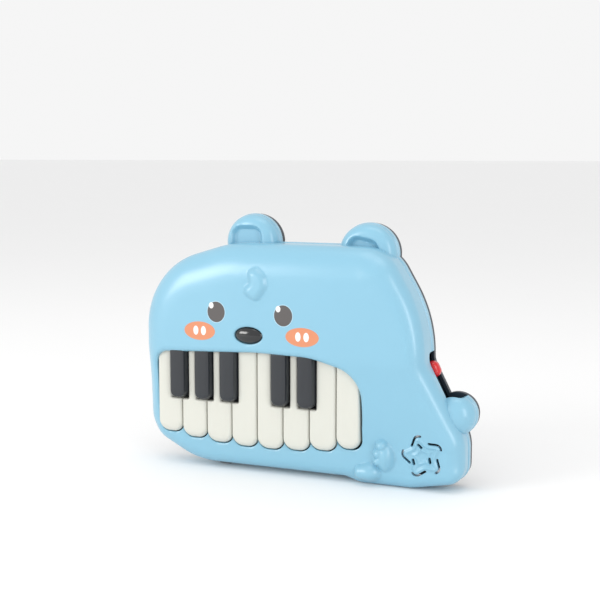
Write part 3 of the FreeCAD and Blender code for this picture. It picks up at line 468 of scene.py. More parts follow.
finishes = {
    "blue": dict(colour=tone(130, 182, 205), roughness=0.33, coat=0.45, coatRoughness=0.24, shade=0.97),
    "navy": dict(colour=tone(28, 39, 50), roughness=0.42, grain=0.3, grainScale=1600, shade=0.85),
    "whiteKey": dict(colour=tone(208, 208, 199), roughness=0.34, shade=0.985, grain=0.06),
    "blackKey": dict(colour=tone(34, 38, 44), roughness=0.34, coat=0.2, shade=0.88, grain=0.12),
    "nose": dict(colour=tone(10, 13, 17), roughness=0.16, coat=0.6, coatRoughness=0.08, grain=0.04),
    "red": dict(colour=tone(206, 22, 30), roughness=0.28, coat=0.3, shade=0.92),
    "cream": dict(colour=tone(226, 224, 214), roughness=0.5),
    "greyPlastic": dict(colour=tone(96, 100, 104), roughness=0.5),
    "steel": dict(colour=tone(188, 190, 194), metal=1, roughness=0.3, cloudScale=500, grainScale=6000, grain=0.08),
    "spring": dict(
        colour=tone(170, 172, 176), metal=1, roughness=0.25, cloudScale=900, grainScale=7000, grain=0.05
    ),
    "silicone": dict(colour=tone(120, 122, 126), roughness=0.62, grain=0.2),
    "board": dict(
        colour=tone(46, 110, 66), roughness=0.38, coat=0.4, cloudScale=200, grainScale=900, grain=0.25
    ),
    "resin": dict(colour=tone(16, 16, 18), roughness=0.22, coat=0.4, grain=0.05),
    "capacitor": dict(colour=tone(24, 34, 66), roughness=0.35, coat=0.3),
    "magnet": dict(colour=tone(150, 152, 156), metal=1, roughness=0.36, grainScale=3000),
    "paper": dict(
        colour=tone(46, 44, 42), roughness=0.85, cloudScale=400, grainScale=1400, grain=0.7, grainDepth=0.0002
    ),
    "wrap": dict(colour=tone(32, 96, 70), roughness=0.3, coat=0.35, shade=0.9),
    "redWire": dict(colour=tone(190, 34, 34), roughness=0.45, grainScale=900, grain=0.2),
    "blackWire": dict(colour=tone(26, 26, 28), roughness=0.45, grainScale=900, grain=0.2),
    "greyWire": dict(colour=tone(150, 152, 156), roughness=0.5, grainScale=900, grain=0.2),
    "print": dict(colour=tone(86, 82, 81), roughness=0.42, grain=0.1, shade=0.94),
    "cheek": dict(colour=tone(212, 136, 99), roughness=0.42, grain=0.1, shade=0.97),
    "ink": dict(colour=tone(232, 232, 230), roughness=0.42, grain=0.08, shade=0.98),
    "halo": dict(colour=tone(170, 204, 220), roughness=0.42, grain=0.08),
}
paint = {name: mouldedPlastic(name + "Finish", look) for name, look in finishes.items()}
print("finishes ready:", len(paint))


camera = dict(azimuth=23, elevation=7.13, lens=70.6, away=0.7975, raised=0.1183, aside=-0.00334)


def makeCamera():
    azimuth, elevation = math.radians(camera["azimuth"]), math.radians(camera["elevation"])
    level = math.cos(elevation)
    back = Vector((math.sin(azimuth) * level, -math.cos(azimuth) * level, math.sin(elevation)))
    right = Vector((math.cos(azimuth), math.sin(azimuth), 0))
    up = back.cross(right)
    holder = bpy.data.objects.new("camera", bpy.data.cameras.new("camera"))
    holder.data.lens = camera["lens"]
    holder.data.sensor_width = 36
    holder.data.clip_start = 0.01
    turn = Matrix((right, up, back)).transposed().to_4x4()
    spot = back * camera["away"] + up * camera["raised"] + right * camera["aside"]
    holder.matrix_world = Matrix.Translation(spot) @ turn
    bpy.context.scene.collection.objects.link(holder)
    bpy.context.scene.camera = holder


makeCamera()


housing = dict(
    outline=[
        (-79.8, 3.2, 60),
        (-117.5, 22.4, 22),
        (-117.5, 136.4, 54),
        (-50.3, 156.5, 80),
        (59.3, 156.5, 28),
        (86, 110.3, 88),
        (86, 83.2, 12),
        (111.3, 34.3, 28),
        (111.3, 6.8, 12),
        (76, 0, 50),
        (41, 0, 10),
        (30.5, 3.2, 14),
    ],
    profile=[(178, -18.7), (82, -18.7, 40), (26, -9.2, 30), (-12, -9.2)],
    faceCrown=2.2,
    wall=2.2,
    seam=12,
    topEdge=25,
    sideEdge=20,
    bottomEdge=9,
    haunchEdge=11,
    spacing=1.5,
)
# down the side wall: a groove and a slightly proud rim band before the seam
sideLevels = [
    (0, 3.2),
    (0, 6.3),
    (-0.45, 6.75),
    (-0.45, 7.15),
    (0.3, 7.7),
    (0.35, 8.4),
    (0.35, 11.3),
    (0.05, 12),
]

headLoop = roundedRun(housing["outline"], housing["spacing"])
headNormals = outward(headLoop)
# the width of the rounding round the front: wide over the head, narrow below and down the haunch
headEdge = (
    housing["sideEdge"]
    + np.clip(headNormals[:, 1], 0, 1) ** 1.5 * (housing["topEdge"] - housing["sideEdge"])
    + np.clip(-headNormals[:, 1], 0, 1) * (housing["bottomEdge"] - housing["sideEdge"])
    + np.clip(headNormals[:, 0], 0, 1) * (housing["haunchEdge"] - housing["sideEdge"])
)
headEdge = softened(headEdge, 6)

profileRun = roundedRun(housing["profile"], 1.0, closed=False)[::-1]


# The face leans back below the keys' top and bows back a little towards its sides.
def faceDepth(spots):
    crown = housing["faceCrown"] * ((spots[:, 0] + 10) / 110) ** 2 * ramp((spots[:, 1] - 20) / 60)
    return np.interp(spots[:, 1], profileRun[:, 0], profileRun[:, 1]) + crown


keys = dict(
    pitch=19,
    firstGap=-87.35,
    left=-105.7,
    right=43.2,
    blackShift=-1.5,
    gap=0.3,
    top=92,
    shoulder=47.8,
    narrow=6.65,
    blackOver=[0, 1, 2, 4, 5],
    blackHalf=6.15,
    blackLow=48.6,
    blackHigh=86,
    endRadius=7.4,
    whiteFront=-12.2,
    blackFront=-16.2,
    rim=-6,
    arcLow=18,
    arcRadius=408,
    arcMiddle=-29.5,
)


def gapX(number):
    return keys["firstGap"] + keys["pitch"] * number


def keySides(number):
    left = keys["left"] if number == 0 else gapX(number - 1) + keys["gap"]
    right = keys["right"] if number == 7 else gapX(number) - keys["gap"]
    return left, right


# The keys' lower ends follow a long arc.
def keyEnd(number):
    across = gapX(number) - keys["pitch"] / 2 - keys["arcMiddle"]
    return keys["arcLow"] + keys["arcRadius"] - math.sqrt(keys["arcRadius"] ** 2 - across**2)


opening = dict(
    left=-106.4,
    right=44.5,
    clear=0.6,
    below=0.7,
    endRadius=7.8,
    top=[(44.5, 33), (44.5, 73.5, 22), (10, 83.3, 60), (-30, 84.2, 150), (-106.4, 80.4, 10), (-106.4, 33)],
    step=1.4,
    lip=0.9,
    topLip=3.5,
)


# The opening has one scallop for each white key's end, and a rounded top.
def openingRun():
    run = []
    radius = opening["endRadius"]
    turns = [math.radians(angle) for angle in np.linspace(0, 90, 15)]
    for number in range(8):
        left, right = keySides(number)
        left = opening["left"] if number == 0 else left - opening["clear"]
        right = opening["right"] if number == 7 else right + opening["clear"]
        start = opening["left"] if number == 0 else gapX(number - 1)
        end = opening["right"] if number == 7 else gapX(number)
        middle = keyEnd(number) - opening["below"] + radius
        arc = [(left + radius - radius * math.cos(t), middle - radius * math.sin(t)) for t in turns]
        arc += [(right - radius + radius * math.cos(t), middle - radius * math.sin(t)) for t in turns[::-1]]
        arc = [spot for spot in arc if start <= spot[0] <= end]
        if number > 0:
            arc.insert(0, (start, middle - math.sqrt(radius**2 - (start - left - radius) ** 2)))
        if number < 7:
            arc.append((end, middle - math.sqrt(radius**2 - (right - radius - end) ** 2)))
        run += arc
    apart = [np.array(run[0])]
    for spot in run[1:]:
        if np.linalg.norm(np.array(spot) - apart[-1]) > 0.05:
            apart.append(np.array(spot))
    top = roundedRun(opening["top"], opening["step"], closed=False)
    return divided(np.vstack([apart, top]), opening["step"])


openingLoop = openingRun()
# the lip is narrow round the keys' ends and wide from a little above them
openingLip = opening["lip"] + (opening["topLip"] - opening["lip"]) * ramp((openingLoop[:, 1] - 34) / 14)
openingLip = softened(openingLip, 6)

nose = dict(
    middle=(-33.3, 95.8),
    across=10,
    up=5.45,
    clear=0.35,
    front=-20,
    dome=2.6,
    flange=(11.8, 7.2),
    flangeDepths=(-16.2, -14.8),
    stem=(5, 3),
    stemBack=-14,
    lip=1.1,
)
noseLoop = oval(nose["middle"], nose["across"] + nose["clear"], nose["up"] + nose["clear"], 72)

curl = dict(
    corners=[
        (-27, 142.2, 4.5),
        (-14.8, 133, 10),
        (-26.6, 117.4, 5),
        (-40, 125.4, 4.6),
        (-32.4, 131.2, 1.5),
        (-34.6, 139.6, 4),
    ],
    height=3,
    slope=4.8,
)
curlLoop = roundedRun(curl["corners"], 0.8)

# ellipsoids: middle across and up, half sizes, front, and how deep their middle lies
paws = [
    dict(middle=(60.2, 20.6), across=7.2, up=11.4, front=-14.2, base=-5),
    dict(middle=(58.2, 28.2), across=4.6, up=4.2, front=-14.6, base=-8),
    dict(middle=(56.2, 22.8), across=4.4, up=3.9, front=-14.4, base=-8),
    dict(middle=(55.8, 17.6), across=4, up=3.7, front=-13.8, base=-8),
    dict(middle=(48.8, 9), across=9.8, up=7.2, front=-14.4, base=-5),
    dict(middle=(43.4, 8.6), across=4.6, up=5.6, front=-13.6, base=-8),
]

star = dict(middle=(85.5, 23.4), tip=15.8, valley=9.2, turn=103, tipRadius=3, valleyRadius=3.5, reach=22)
# the short slots, from one end to the other away from the star's middle
innerSlots = [((-2.6, 7.6), (-0.7, 5.9)), ((4.6, -0.9), (5.1, -3.5)), ((-6.3, -2.6), (-5.5, -5.2))]
slotHalf = dict(outer=0.8, inner=0.85)


def starCorners():
    corners = []
    for step in range(10):
        kind = ("tip", "valley")[step % 2]
        angle = math.radians(star["turn"] + 36 * step)
        across = star["middle"][0] + star[kind] * math.cos(angle)
        corners.append((across, star["middle"][1] + star[kind] * math.sin(angle), star[kind + "Radius"]))
    return corners


starLoop = roundedRun(starCorners(), 0.5)
starRidges = [dict(into=1.9, half=1.5, height=1.25), dict(into=5.6, half=1.4, height=1.1)]


# A slot with round ends along a run of points.
def slotLoop(run, half):
    ahead = np.gradient(run, axis=0)
    ahead /= np.linalg.norm(ahead, axis=1)[:, None]
    side = np.column_stack([-ahead[:, 1], ahead[:, 0]]) * half
    ends = []
    for spot, way, edge in ((run[-1], ahead[-1], side[-1]), (run[0], -ahead[0], -side[0])):
        for angle in (30, 60, 90, 120, 150):
            turn = math.radians(angle)
            ends.append(spot + edge * math.cos(turn) + way * half * math.sin(turn))
    return np.vstack([run + side, ends[:5], (run - side)[::-1], ends[5:]])


# the long slots' reach along the star from each point, in steps, and how far outside it they run
slotRun = dict(steps=(-3, 17), out=0.35)


# Five long slots bent round the star's points, just outside it, and three short ones inside.
def grilleSlots():
    slots = []
    away = outward(starLoop)
    for point in range(5):
        angle = math.radians(star["turn"] + 72 * point)
        tip = np.add(star["middle"], (star["tip"] * math.cos(angle), star["tip"] * math.sin(angle)))
        start = int(np.hypot(*(starLoop - tip).T).argmin())
        along = [(start + k) % len(starLoop) for k in range(*slotRun["steps"])]
        slots.append(slotLoop(starLoop[along] + away[along] * slotRun["out"], slotHalf["outer"]))
    for first, last in innerSlots:
        share = np.linspace(0, 1, 6)[:, None]
        run = np.add(star["middle"], np.array(first) * (1 - share) + np.array(last) * share)
        slots.append(slotLoop(run, slotHalf["inner"]))
    return slots


slotLoops = grilleSlots()


def relief(spots, depth):
    into = depthInto(spots, curlLoop)
    depth = depth - curl["height"] * np.sin(np.clip(into / curl["slope"], 0, 1) * math.pi / 2)
    for paw in paws:
        far = (((spots - paw["middle"]) / (paw["across"], paw["up"])) ** 2).sum(1)
        bulge = paw["base"] - (paw["base"] - paw["front"]) * np.sqrt(np.clip(1 - far, 0, 1))
        depth = softLeast(depth, bulge + 6 * np.clip(far - 1, 0, 1), 1.0)
    near = np.hypot(*(spots - star["middle"]).T) < star["reach"]
    into = np.full(len(spots), -9.0)
    into[near] = depthInto(spots[near], starLoop)
    for ridge in starRidges:
        depth = depth - ridge["height"] * np.exp(-(((into - ridge["into"]) / ridge["half"]) ** 2) * 1.6)
    return depth


def shellFront(spots):
    distance, edge = nearest(spots, headLoop, headEdge)
    face = faceDepth(spots)
    depth = relief(spots, face) + edgeDrop(distance, edge, edgeDepth(edge, face))
    distance, lip = nearest(spots, openingLoop, openingLip)
    depth += edgeDrop(distance, lip, lip * 0.8)
    distance, _ = nearest(spots, noseLoop)
    return depth + edgeDrop(distance, nose["lip"], 0.9)


# The wide roundings at the top are flatter than they are deep, and none reaches past the side wall's start.
def edgeDepth(edge, face):
    return np.minimum(np.interp(edge, [8, 11, 20, 25], [7, 9.5, 16, 14]), sideLevels[0][1] - 0.6 - face)


def shellBack(spots):
    wall = housing["wall"]
    distance, edge = nearest(spots, headLoop, headEdge)
    face = faceDepth(spots)
    distance = np.clip(distance - wall, 0, None)
    depth = face + wall + edgeDrop(distance, edge - wall, edgeDepth(edge, face) - wall)
    distance, lip = nearest(spots, openingLoop, openingLip)
    return depth + edgeDrop(distance, lip, lip * 0.8)


shellPlan = dict(
    outer=headLoop,
    holes=[openingLoop, noseLoop] + slotLoops,
    lips=[openingLip, nose["lip"]] + [0.6] * len(slotLoops),
    edge=headEdge,
    spacing=housing["spacing"],
    patches=[(star["middle"], 19, 0.62), ((-28, 130.5), 14, 0.75), ((54, 17), 20, 0.8)],
    front=shellFront,
    back=shellBack,
    backEdge=headEdge - housing["wall"],
    side=sideLevels,
    wall=housing["wall"],
)
whole = moulding("front_shell_mesh", shellPlan)
print("front shell:", len(whole.polygons), "faces")

ears = [
    dict(middle=(-40.3, 156.2), radius=19, dish=[(-54, 146), (-54, 167.5, 7), (-31.5, 167.5, 7), (-31.5, 146)]),
    dict(middle=(42.4, 151.1), radius=19.8, dish=[(26, 139), (31.5, 163.6, 7), (52, 159.6, 8), (51.5, 141)]),
]
earShape = dict(front=-1, edge=7.5, depth=7, dishDepth=4.2, slope=3.6, inset=1.2)
tail = dict(middle=(102.6, 49.3), radius=13.7, front=-5, edge=13, depth=10.5)


# The part of a disc outside the head, and a little way into its wall.
def discPlan(middle, radius):
    circle = oval(middle, radius, radius, int(radius * 5))
    inset = headLoop - headNormals * earShape["inset"]
    circle = circle[~inside(circle, inset)]
    cut = inset[np.hypot(*(inset - middle).T) < radius]
    away = circle.mean(0)
    spots = np.vstack([circle, cut])
    order = np.argsort(np.arctan2(spots[:, 1] - away[1], spots[:, 0] - away[0]))
    return divided(spots[order], 1.2)


# An ear or the tail. It is rounded towards its rim, and an ear has a dish.
def discMesh(name, disc):
    dishLoop = roundedRun(disc["dish"], 1.0) if "dish" in disc else None

    def surface(spots):
        distance = np.clip(disc["radius"] - np.hypot(*(spots - disc["middle"]).T), 0, None)
        depth = disc["front"] + edgeDrop(distance, disc["edge"], disc["depth"])
        if dishLoop is not None:
            depth = depth + earShape["dishDepth"] * ramp((depthInto(spots, dishLoop) + 1) / earShape["slope"])
        return np.minimum(depth, sideLevels[1][1] - 0.2)

    outer = discPlan(disc["middle"], disc["radius"])
    return solid(name, outer, surface, sideLevels[-1][1], 0.95, 1.0, side=sideLevels[1:])


for number, ear in enumerate(ears):
    whole = combine(whole, discMesh(f"ear_{number}", {**earShape, **ear}), "UNION")
whole = combine(whole, discMesh("tail", tail), "UNION")
print("ears and tail joined:", len(whole.polygons), "faces")

# blocks at the waist: start and end down it, front and back, and how far out of it they begin and end
waist = dict(
    top=(85.6, 84.5),
    low=(95.5, 64),
    notch=dict(start=-4, end=31, front=1, back=14, corner=2.2, base=-4.4, out=20, edge=0.4),
    panel=dict(start=-3.6, end=26.6, front=1.4, back=14, corner=1.8, base=-5.2, out=-2.6, edge=0.5),
    slot=dict(start=3.4, end=16.2, front=5.6, back=9.4, corner=1.8, backCorner=1.8, base=-9, out=2, edge=0.2),
    stem=dict(start=3.8, end=9.8, front=5.8, back=9.2, corner=0.4, backCorner=0.4, base=-7, out=-2, edge=0.4),
)
waistDown = np.subtract(waist["low"], waist["top"])
waistDown = waistDown / np.linalg.norm(waistDown)
waistOut = np.array([-waistDown[1], waistDown[0]])


# Plans at the waist are drawn as (along the waist, front to back), with heights out of it.
def atWaist(points):
    spots = np.array(waist["top"]) + points[:, :1] * waistDown + points[:, 2:] * waistOut
    return np.column_stack([spots[:, 0], points[:, 1], spots[:, 1]])


def waistBlock(name):
    block = waist[name]
    edge = block["edge"]
    corners = rectangle(
        block["start"], block["end"], block["front"], block["back"], block["corner"], block.get("backCorner")
    )
    loop = roundedRun(corners, 0.8)

    def top(spots):
        return block["out"] - edgeDrop(nearest(spots, loop)[0], edge, edge)

    return solid(name, loop, top, block["base"], 1.2, edge, place=atWaist)


whole = combine(whole, waistBlock("notch"), "DIFFERENCE")
shell = objectFrom(whole, "front_shell_moulding", paint["blue"], 34)
finish(shell, "housing", "blue_plastic", "front_shell")
print("front shell finished:", len(whole.polygons), "faces")

backShell = dict(
    face=20,
    edge=5,
    depth=5,
    wall=2.2,
    screws=[(-96, 118), (30, 146), (72, 104), (59, 50), (-88, 14.5), (22, 10.5), (62, 11)],
    sink=3.3,
    sinkBack=19,
    boss=4.6,
    bossBack=18.6,
    bore=1.35,
    seat=15,
    door=dict(left=-51, right=11, low=101.8, high=150.8, tab=(-26, -14), tabLow=92.8, clear=0.25, corner=2.5),
    doorInside=18.2,
    doorScrew=(-20, 97.3),
    doorHole=2.9,
    thumb=dict(middle=(-20, 112), across=11, up=6, depth=0.9),
)


# A closed ring turned round a front-to-back line: the profile is (radius, depth).
def turned(name, middle, profile, count=40):
    points, faces = [], []
    for radius, depth in profile:
        points.append(np.column_stack([oval(middle, radius, radius, count), np.full(count, depth)]))
    for ring in range(len(profile)):
        start, after = ring * count, (ring + 1) % len(profile) * count
        strip(faces, list(range(start, start + count)), list(range(after, after + count)))
    return meshFrom(name, np.vstack(points), faces)


def backSurface(spots, thick=0.0):
    distance, _ = nearest(spots, headLoop)
    edge, depth = backShell["edge"] - thick, backShell["depth"] - thick
    return backShell["face"] - thick - edgeDrop(np.clip(distance - thick, 0, None), edge, depth)


# The door's outline with its screw tab, grown all round by the margin.
def doorLoop(margin):
    door = backShell["door"]
    left, right = door["left"] - margin, door["right"] + margin
    low, high = door["low"] - margin, door["high"] + margin
    tabLeft, tabRight = door["tab"][0] - margin, door["tab"][1] + margin
    corner = door["corner"]
    return roundedRun(
        [
            (left, low, corner),
            (tabLeft, low, 1),
            (tabLeft, door["tabLow"] - margin, 2),
            (tabRight, door["tabLow"] - margin, 2),
            (tabRight, low, 1),
            (right, low, corner),
            (right, high, corner),
            (left, high, corner),
        ],
        1.2,
    )


def backShellMesh():
    seam = housing["seam"]
    sinks = [oval(spot, backShell["sink"], backShell["sink"], 40) for spot in backShell["screws"]]
    gap = doorLoop(backShell["door"]["clear"])

    def face(spots):
        depth = backSurface(spots)
        for spot in backShell["screws"]:
            depth = depth - edgeDrop(np.hypot(*(spots - spot).T) - backShell["sink"], 0.6, 0.6)
        return depth - edgeDrop(nearest(spots, gap)[0], 0.5, 0.5)

    mesh = moulding(
        "back_shell_mesh",
        dict(
            outer=headLoop,
            holes=sinks + [gap],
            lips=[0.6] * len(sinks) + [0.5],
            edge=backShell["edge"],
            spacing=2.2,
            front=face,
            back=lambda spots: backSurface(spots, backShell["wall"]),
            backEdge=backShell["edge"] - backShell["wall"],
            side=[(0, seam + 0.35), (-0.25, seam)],
            wall=backShell["wall"],
        ),
    )
    for disc in ears + [tail]:
        mesh = combine(mesh, backDisc(disc["middle"], disc["radius"]), "UNION")
    for spot in backShell["screws"]:
        sink, bore, boss, seat = (backShell[key] for key in ("sink", "bore", "boss", "seat"))
        profile = [(sink, backShell["sinkBack"]), (sink, seat), (bore, seat), (bore, seam), (boss, seam)]
        ring = turned("boss", spot, profile + [(boss, backShell["bossBack"])])
        mesh = combine(mesh, ring, "UNION")
    return mesh


def backDisc(middle, radius):
    seam = housing["seam"]

    def surface(spots):
        distance = np.clip(radius - np.hypot(*(spots - middle).T), 0, None)
        return backShell["face"] - edgeDrop(distance, backShell["edge"], backShell["depth"])

    return solid("disc", discPlan(middle, radius), surface, seam, 1.2, 1.0, side=[(0, seam + 0.35), (-0.25, seam)])


backMesh = combine(backShellMesh(), waistBlock("panel"), "UNION")
backMesh = combine(backMesh, waistBlock("slot"), "DIFFERENCE")
rear = objectFrom(backMesh, "back_shell_moulding", paint["navy"], 34)
finish(rear, "housing", "navy_plastic", "back_shell")
print("back shell finished:", len(backMesh.polygons), "faces")


def doorMesh():
    loop = doorLoop(0)
    face = backShell["face"] - 0.05
    screw, reach = backShell["doorScrew"], backShell["doorHole"]
    thumb = backShell["thumb"]

    def outside(spots):
        depth = face - edgeDrop(nearest(spots, loop)[0], 0.7, 0.7)
        depth = depth - edgeDrop(np.hypot(*(spots - screw).T) - reach, 0.6, 0.6)
        # a shallow thumb dish above the tab
        far = np.hypot(*((spots - thumb["middle"]) / (thumb["across"], thumb["up"])).T)
        return depth - thumb["depth"] * ramp((1 - far) * 2.5)

    hole = oval(screw, reach, reach, 36)
    inner = backShell["doorInside"]
    return solid("battery_door_mesh", loop, outside, inner, 1.5, 0.7, holes=[hole], lips=[0.6])


door = objectFrom(doorMesh(), "battery_door_cover", paint["navy"], 34)
finish(door, "housing", "navy_plastic", "battery_door")

knob = dict(along=(1.4, 12.2), across=(2.4, 10.8), low=-2.3, high=3.1, corner=3.4, edge=3.4)


def knobMesh():
    (start, end), (near, far) = knob["along"], knob["across"]
    loop = roundedRun(rectangle(start, end, near, far, knob["corner"], knob["corner"]), 0.5)

    def top(spots):
        distance, _ = nearest(spots, loop)
        dome = 0.5 * np.clip(1 - ((spots[:, 0] - (start + end) / 2) / 5) ** 2, 0, 1)
        return knob["high"] - 0.5 + dome - edgeDrop(distance, knob["edge"], knob["edge"])

    return solid("knob", loop, top, knob["low"], 0.6, knob["edge"], place=atWaist)


knobWhole = joinMeshes("knob_mesh", [knobMesh(), waistBlock("stem")])
knobPiece = objectFrom(knobWhole, "power_switch_knob_puffy", paint["red"])
finish(knobPiece, "power_switch", "red_plastic", "power_switch_knob")

hinge = dict(
    depth=-7,
    up=89,
    bore=1.56,
    whiteWidth=5.2,
    blackWidth=8,
    whiteBack=-9.6,
    blackBack=-12.3,
    plungerEnd=-2.6,
    plungerSize=5,
    whitePlunger=35.5,
    blackPlunger=59.5,
)


# Lays a plan across the toy: it is drawn as (front to back, up), and its depth runs sideways.
def acrossToy(points):
    return np.column_stack([points[:, 2], points[:, 0], points[:, 1]])


# Adds the arm that carries a key on the rod, and the plunger that presses its contact.
def withHinge(mesh, back, middle, width, plungerMiddle, plungerLow):
    y, z = hinge["depth"], hinge["up"]
    corners = [(back, z - 6), (back, z + 3), (y + 3, z + 3, 2.9), (y + 3, z - 3, 2.5), (y + 1, z - 6)]
    bore = oval((y, z), hinge["bore"], hinge["bore"], 28)
    near, far = middle - width / 2, middle + width / 2
    arm = solid(
        "arm", roundedRun(corners, 1.0), flat(near), far, 1.5, 0.3, place=acrossToy, holes=[bore], lips=[0.3]
    )
    size = hinge["plungerSize"]
    left = plungerMiddle - size / 2
    post = roundedRun(rectangle(left, left + size, plungerLow, plungerLow + size, 0.8, 0.8), 1.0)
    plunger = solid("plunger", post, flat(back), hinge["plungerEnd"], 1.5, 0.3)
    return combine(combine(mesh, arm, "UNION"), plunger, "UNION")


whiteCap = dict(side=1.5, end=5.2, endDrop=3.8, wall=1.6, thick=3.4)


def whiteKeyPlan(number, inset=0.0):
    left, right = keySides(number)
    left, right = left + inset, right - inset
    low, high, shoulder = keyEnd(number) + inset, keys["top"] - inset, keys["shoulder"] - inset
    tight, inner = 0.5, 0.6 + inset
    corners = [(left, low, keys["endRadius"] - inset), (right, low, keys["endRadius"] - inset)]
    if number in keys["blackOver"]:
        edge = gapX(number) + keys["blackShift"] - keys["narrow"] - inset
        corners += [(right, shoulder, tight), (edge, shoulder, inner), (edge, high, tight)]
    else:
        corners += [(right, high, tight)]
    if number - 1 in keys["blackOver"]:
        edge = gapX(number - 1) + keys["blackShift"] + keys["narrow"] + inset
        corners += [(edge, high, tight), (edge, shoulder, inner), (left, shoulder, tight)]
    else:
        corners += [(left, high, tight)]
    return corners


# Takes the hollow out of a key cap from behind.
def hollowed(mesh, corners, front):
    loop = roundedRun(corners, 1.2)

    def top(spots):
        return front + edgeDrop(nearest(spots, loop)[0], 0.4, 0.4)

    return combine(mesh, solid("core", loop, top, keys["rim"] + 1.0, 4, 0.4), "DIFFERENCE")


# A key cap: its lower end rolls over further than its sides.
def whiteKeyMesh(number):
    loop = roundedRun(whiteKeyPlan(number), 0.9)
    downward = np.clip(-outward(loop)[:, 1], 0, 1) * ramp((30 - loop[:, 1] + keyEnd(number)) / 12)
    edge = whiteCap["side"] + downward * (whiteCap["end"] - whiteCap["side"])
    drop = whiteCap["side"] + downward * (whiteCap["endDrop"] - whiteCap["side"])
    edge, drop = softened(edge, 4), softened(drop, 4)

    def top(spots):
        distance, width = nearest(spots, loop, edge)
        _, depth = nearest(spots, loop, drop)
        return keys["whiteFront"] + edgeDrop(distance, width, depth)

    side = [(0, -8.4), (0, keys["rim"])]
    cap = solid(f"white_key_{number}", loop, top, keys["rim"], 1.8, edge, side=side)
    cap = hollowed(cap, whiteKeyPlan(number, whiteCap["wall"]), keys["whiteFront"] + whiteCap["thick"])
    left, right = keySides(number)
    neckLeft, neckRight = left, right
    if number - 1 in keys["blackOver"]:
        neckLeft = gapX(number - 1) + keys["blackShift"] + keys["narrow"]
    if number in keys["blackOver"]:
        neckRight = gapX(number) + keys["blackShift"] - keys["narrow"]
    width = min(hinge["whiteWidth"], neckRight - neckLeft - 0.2)
    neck = (neckLeft + neckRight) / 2
    return withHinge(cap, hinge["whiteBack"], neck, width, (left + right) / 2, hinge["whitePlunger"])


for number in range(8):
    name = f"white_key_{number + 1}"
    piece = objectFrom(whiteKeyMesh(number), f"{name}_cap", paint["whiteKey"])
    finish(piece, name, "white_key_plastic", name)

blackCap = dict(corner=5, draft=0.9, shoulder=-12.4, round=1.1, crown=0.2, wall=1.6, thick=4.4)


def blackKeyMesh(number):
    middle = gapX(keys["blackOver"][number]) + keys["blackShift"]
    half = keys["blackHalf"]
    low, high = keys["blackLow"], keys["blackHigh"]
    loop = roundedRun(rectangle(middle - half, middle + half, low, high, blackCap["corner"], 0.5), 0.7)
    rise = keys["blackFront"] - blackCap["shoulder"]

    def top(spots):
        distance, _ = nearest(spots, loop)
        slope = blackCap["shoulder"] + rise * np.clip(distance / blackCap["draft"], 0, 1) * 0.8
        over = np.clip((distance - blackCap["draft"]) / blackCap["round"], 0, 1)
        slope = slope + rise * 0.2 * np.sqrt(np.clip(1 - (1 - over) ** 2, 0, 1))
        return slope - blackCap["crown"] * np.clip(1 - ((spots[:, 0] - middle) / half) ** 2, 0, 1) * over

    side = [(0, -9), (0, keys["rim"])]
    cap = solid(f"black_key_{number}", loop, top, keys["rim"], 1.2, 2.0, side=side)
    wall = blackCap["wall"]
    left, right = middle - half + wall, middle + half - wall
    inner = rectangle(left, right, low + wall, high - wall, 2.4, 0.5)
    cap = hollowed(cap, inner, keys["blackFront"] + blackCap["thick"])
    return withHinge(cap, hinge["blackBack"], middle, hinge["blackWidth"], middle, hinge["blackPlunger"])


for number in range(5):
    name = f"black_key_{number + 1}"
    piece = objectFrom(blackKeyMesh(number), f"{name}_cap", paint["blackKey"])
    finish(piece, name, "black_key_plastic", name)
print("keys ready")


def noseMesh():
    middle = np.array(nose["middle"])
    across, up = nose["across"], nose["up"]
    # (across, up, depth) of each ring: the dome from its middle outwards, then the flange and the stem
    rings = []
    for share in (0.12, 0.25, 0.38, 0.5, 0.62, 0.73, 0.82, 0.89, 0.94, 0.975, 0.995, 1.0):
        fall = nose["dome"] * (1 - math.sqrt(1 - 0.94 * share**2)) / 0.755
        rings.append((across * share, up * share, nose["front"] + fall))
    front, back = nose["flangeDepths"]
    rings += [(across, up, front - 0.1), (*nose["flange"], front), (*nose["flange"], back)]
    rings += [(*nose["stem"], back), (*nose["stem"], nose["stemBack"])]
    count = 64
    points, faces = [np.array([[middle[0], middle[1], nose["front"]]])], []
    for a, u, depth in rings:
        points.append(np.column_stack([oval(middle, a, u, count), np.full(count, depth)]))
    for i in range(count):
        faces.append((0, 1 + i, 1 + (i + 1) % count))
    for ring in range(len(rings) - 1):
        start = 1 + ring * count
        strip(faces, list(range(start, start + count)), list(range(start + count, start + 2 * count)))
    faces.append(tuple(range(1 + (len(rings) - 1) * count, 1 + len(rings) * count)))
    return meshFrom("nose", np.vstack(points), faces)


finish(objectFrom(noseMesh(), "nose_button_dome", paint["nose"]), "nose", "nose_plastic", "nose_button")

eyes = dict(
    middles=[(-57, 110.5), (-7.7, 110.5)], across=6.5, up=6.95, halo=0.5, glintAt=(-3.6, 4.3), glint=(1.7, 2.1)
)
cheeks = dict(middles=[(-69.7, 97), (5.7, 97)], across=11.75, up=6.3, glint=(1.9, 3.1), apart=2.9)


# how proud of the shell each print stands, so that none is level with another
lifts = dict(halo=0.03, eye=0.06, glint=0.09, cheek=0.04, cheekGlint=0.07)


# A printed patch that follows the shell's surface, a few hundredths proud of it.
def printed(name, loop, lift, material, spacing=1.2):
    spots, faces = triangulate([loop], filling(loop, [], spacing, 0.4, []))
    depth = shellFront(spots)
    points = np.vstack([np.column_stack([spots, depth - lift]), np.column_stack([spots, depth + 0.1])])
    count = len(spots)
    faces = [tuple(face) for face in faces] + [tuple(i + count for i in face) for face in faces]
    strip(faces, list(range(len(loop))), list(range(count, count + len(loop))))
    finish(objectFrom(meshFrom(name, points, faces), name, material), "housing", "blue_plastic")


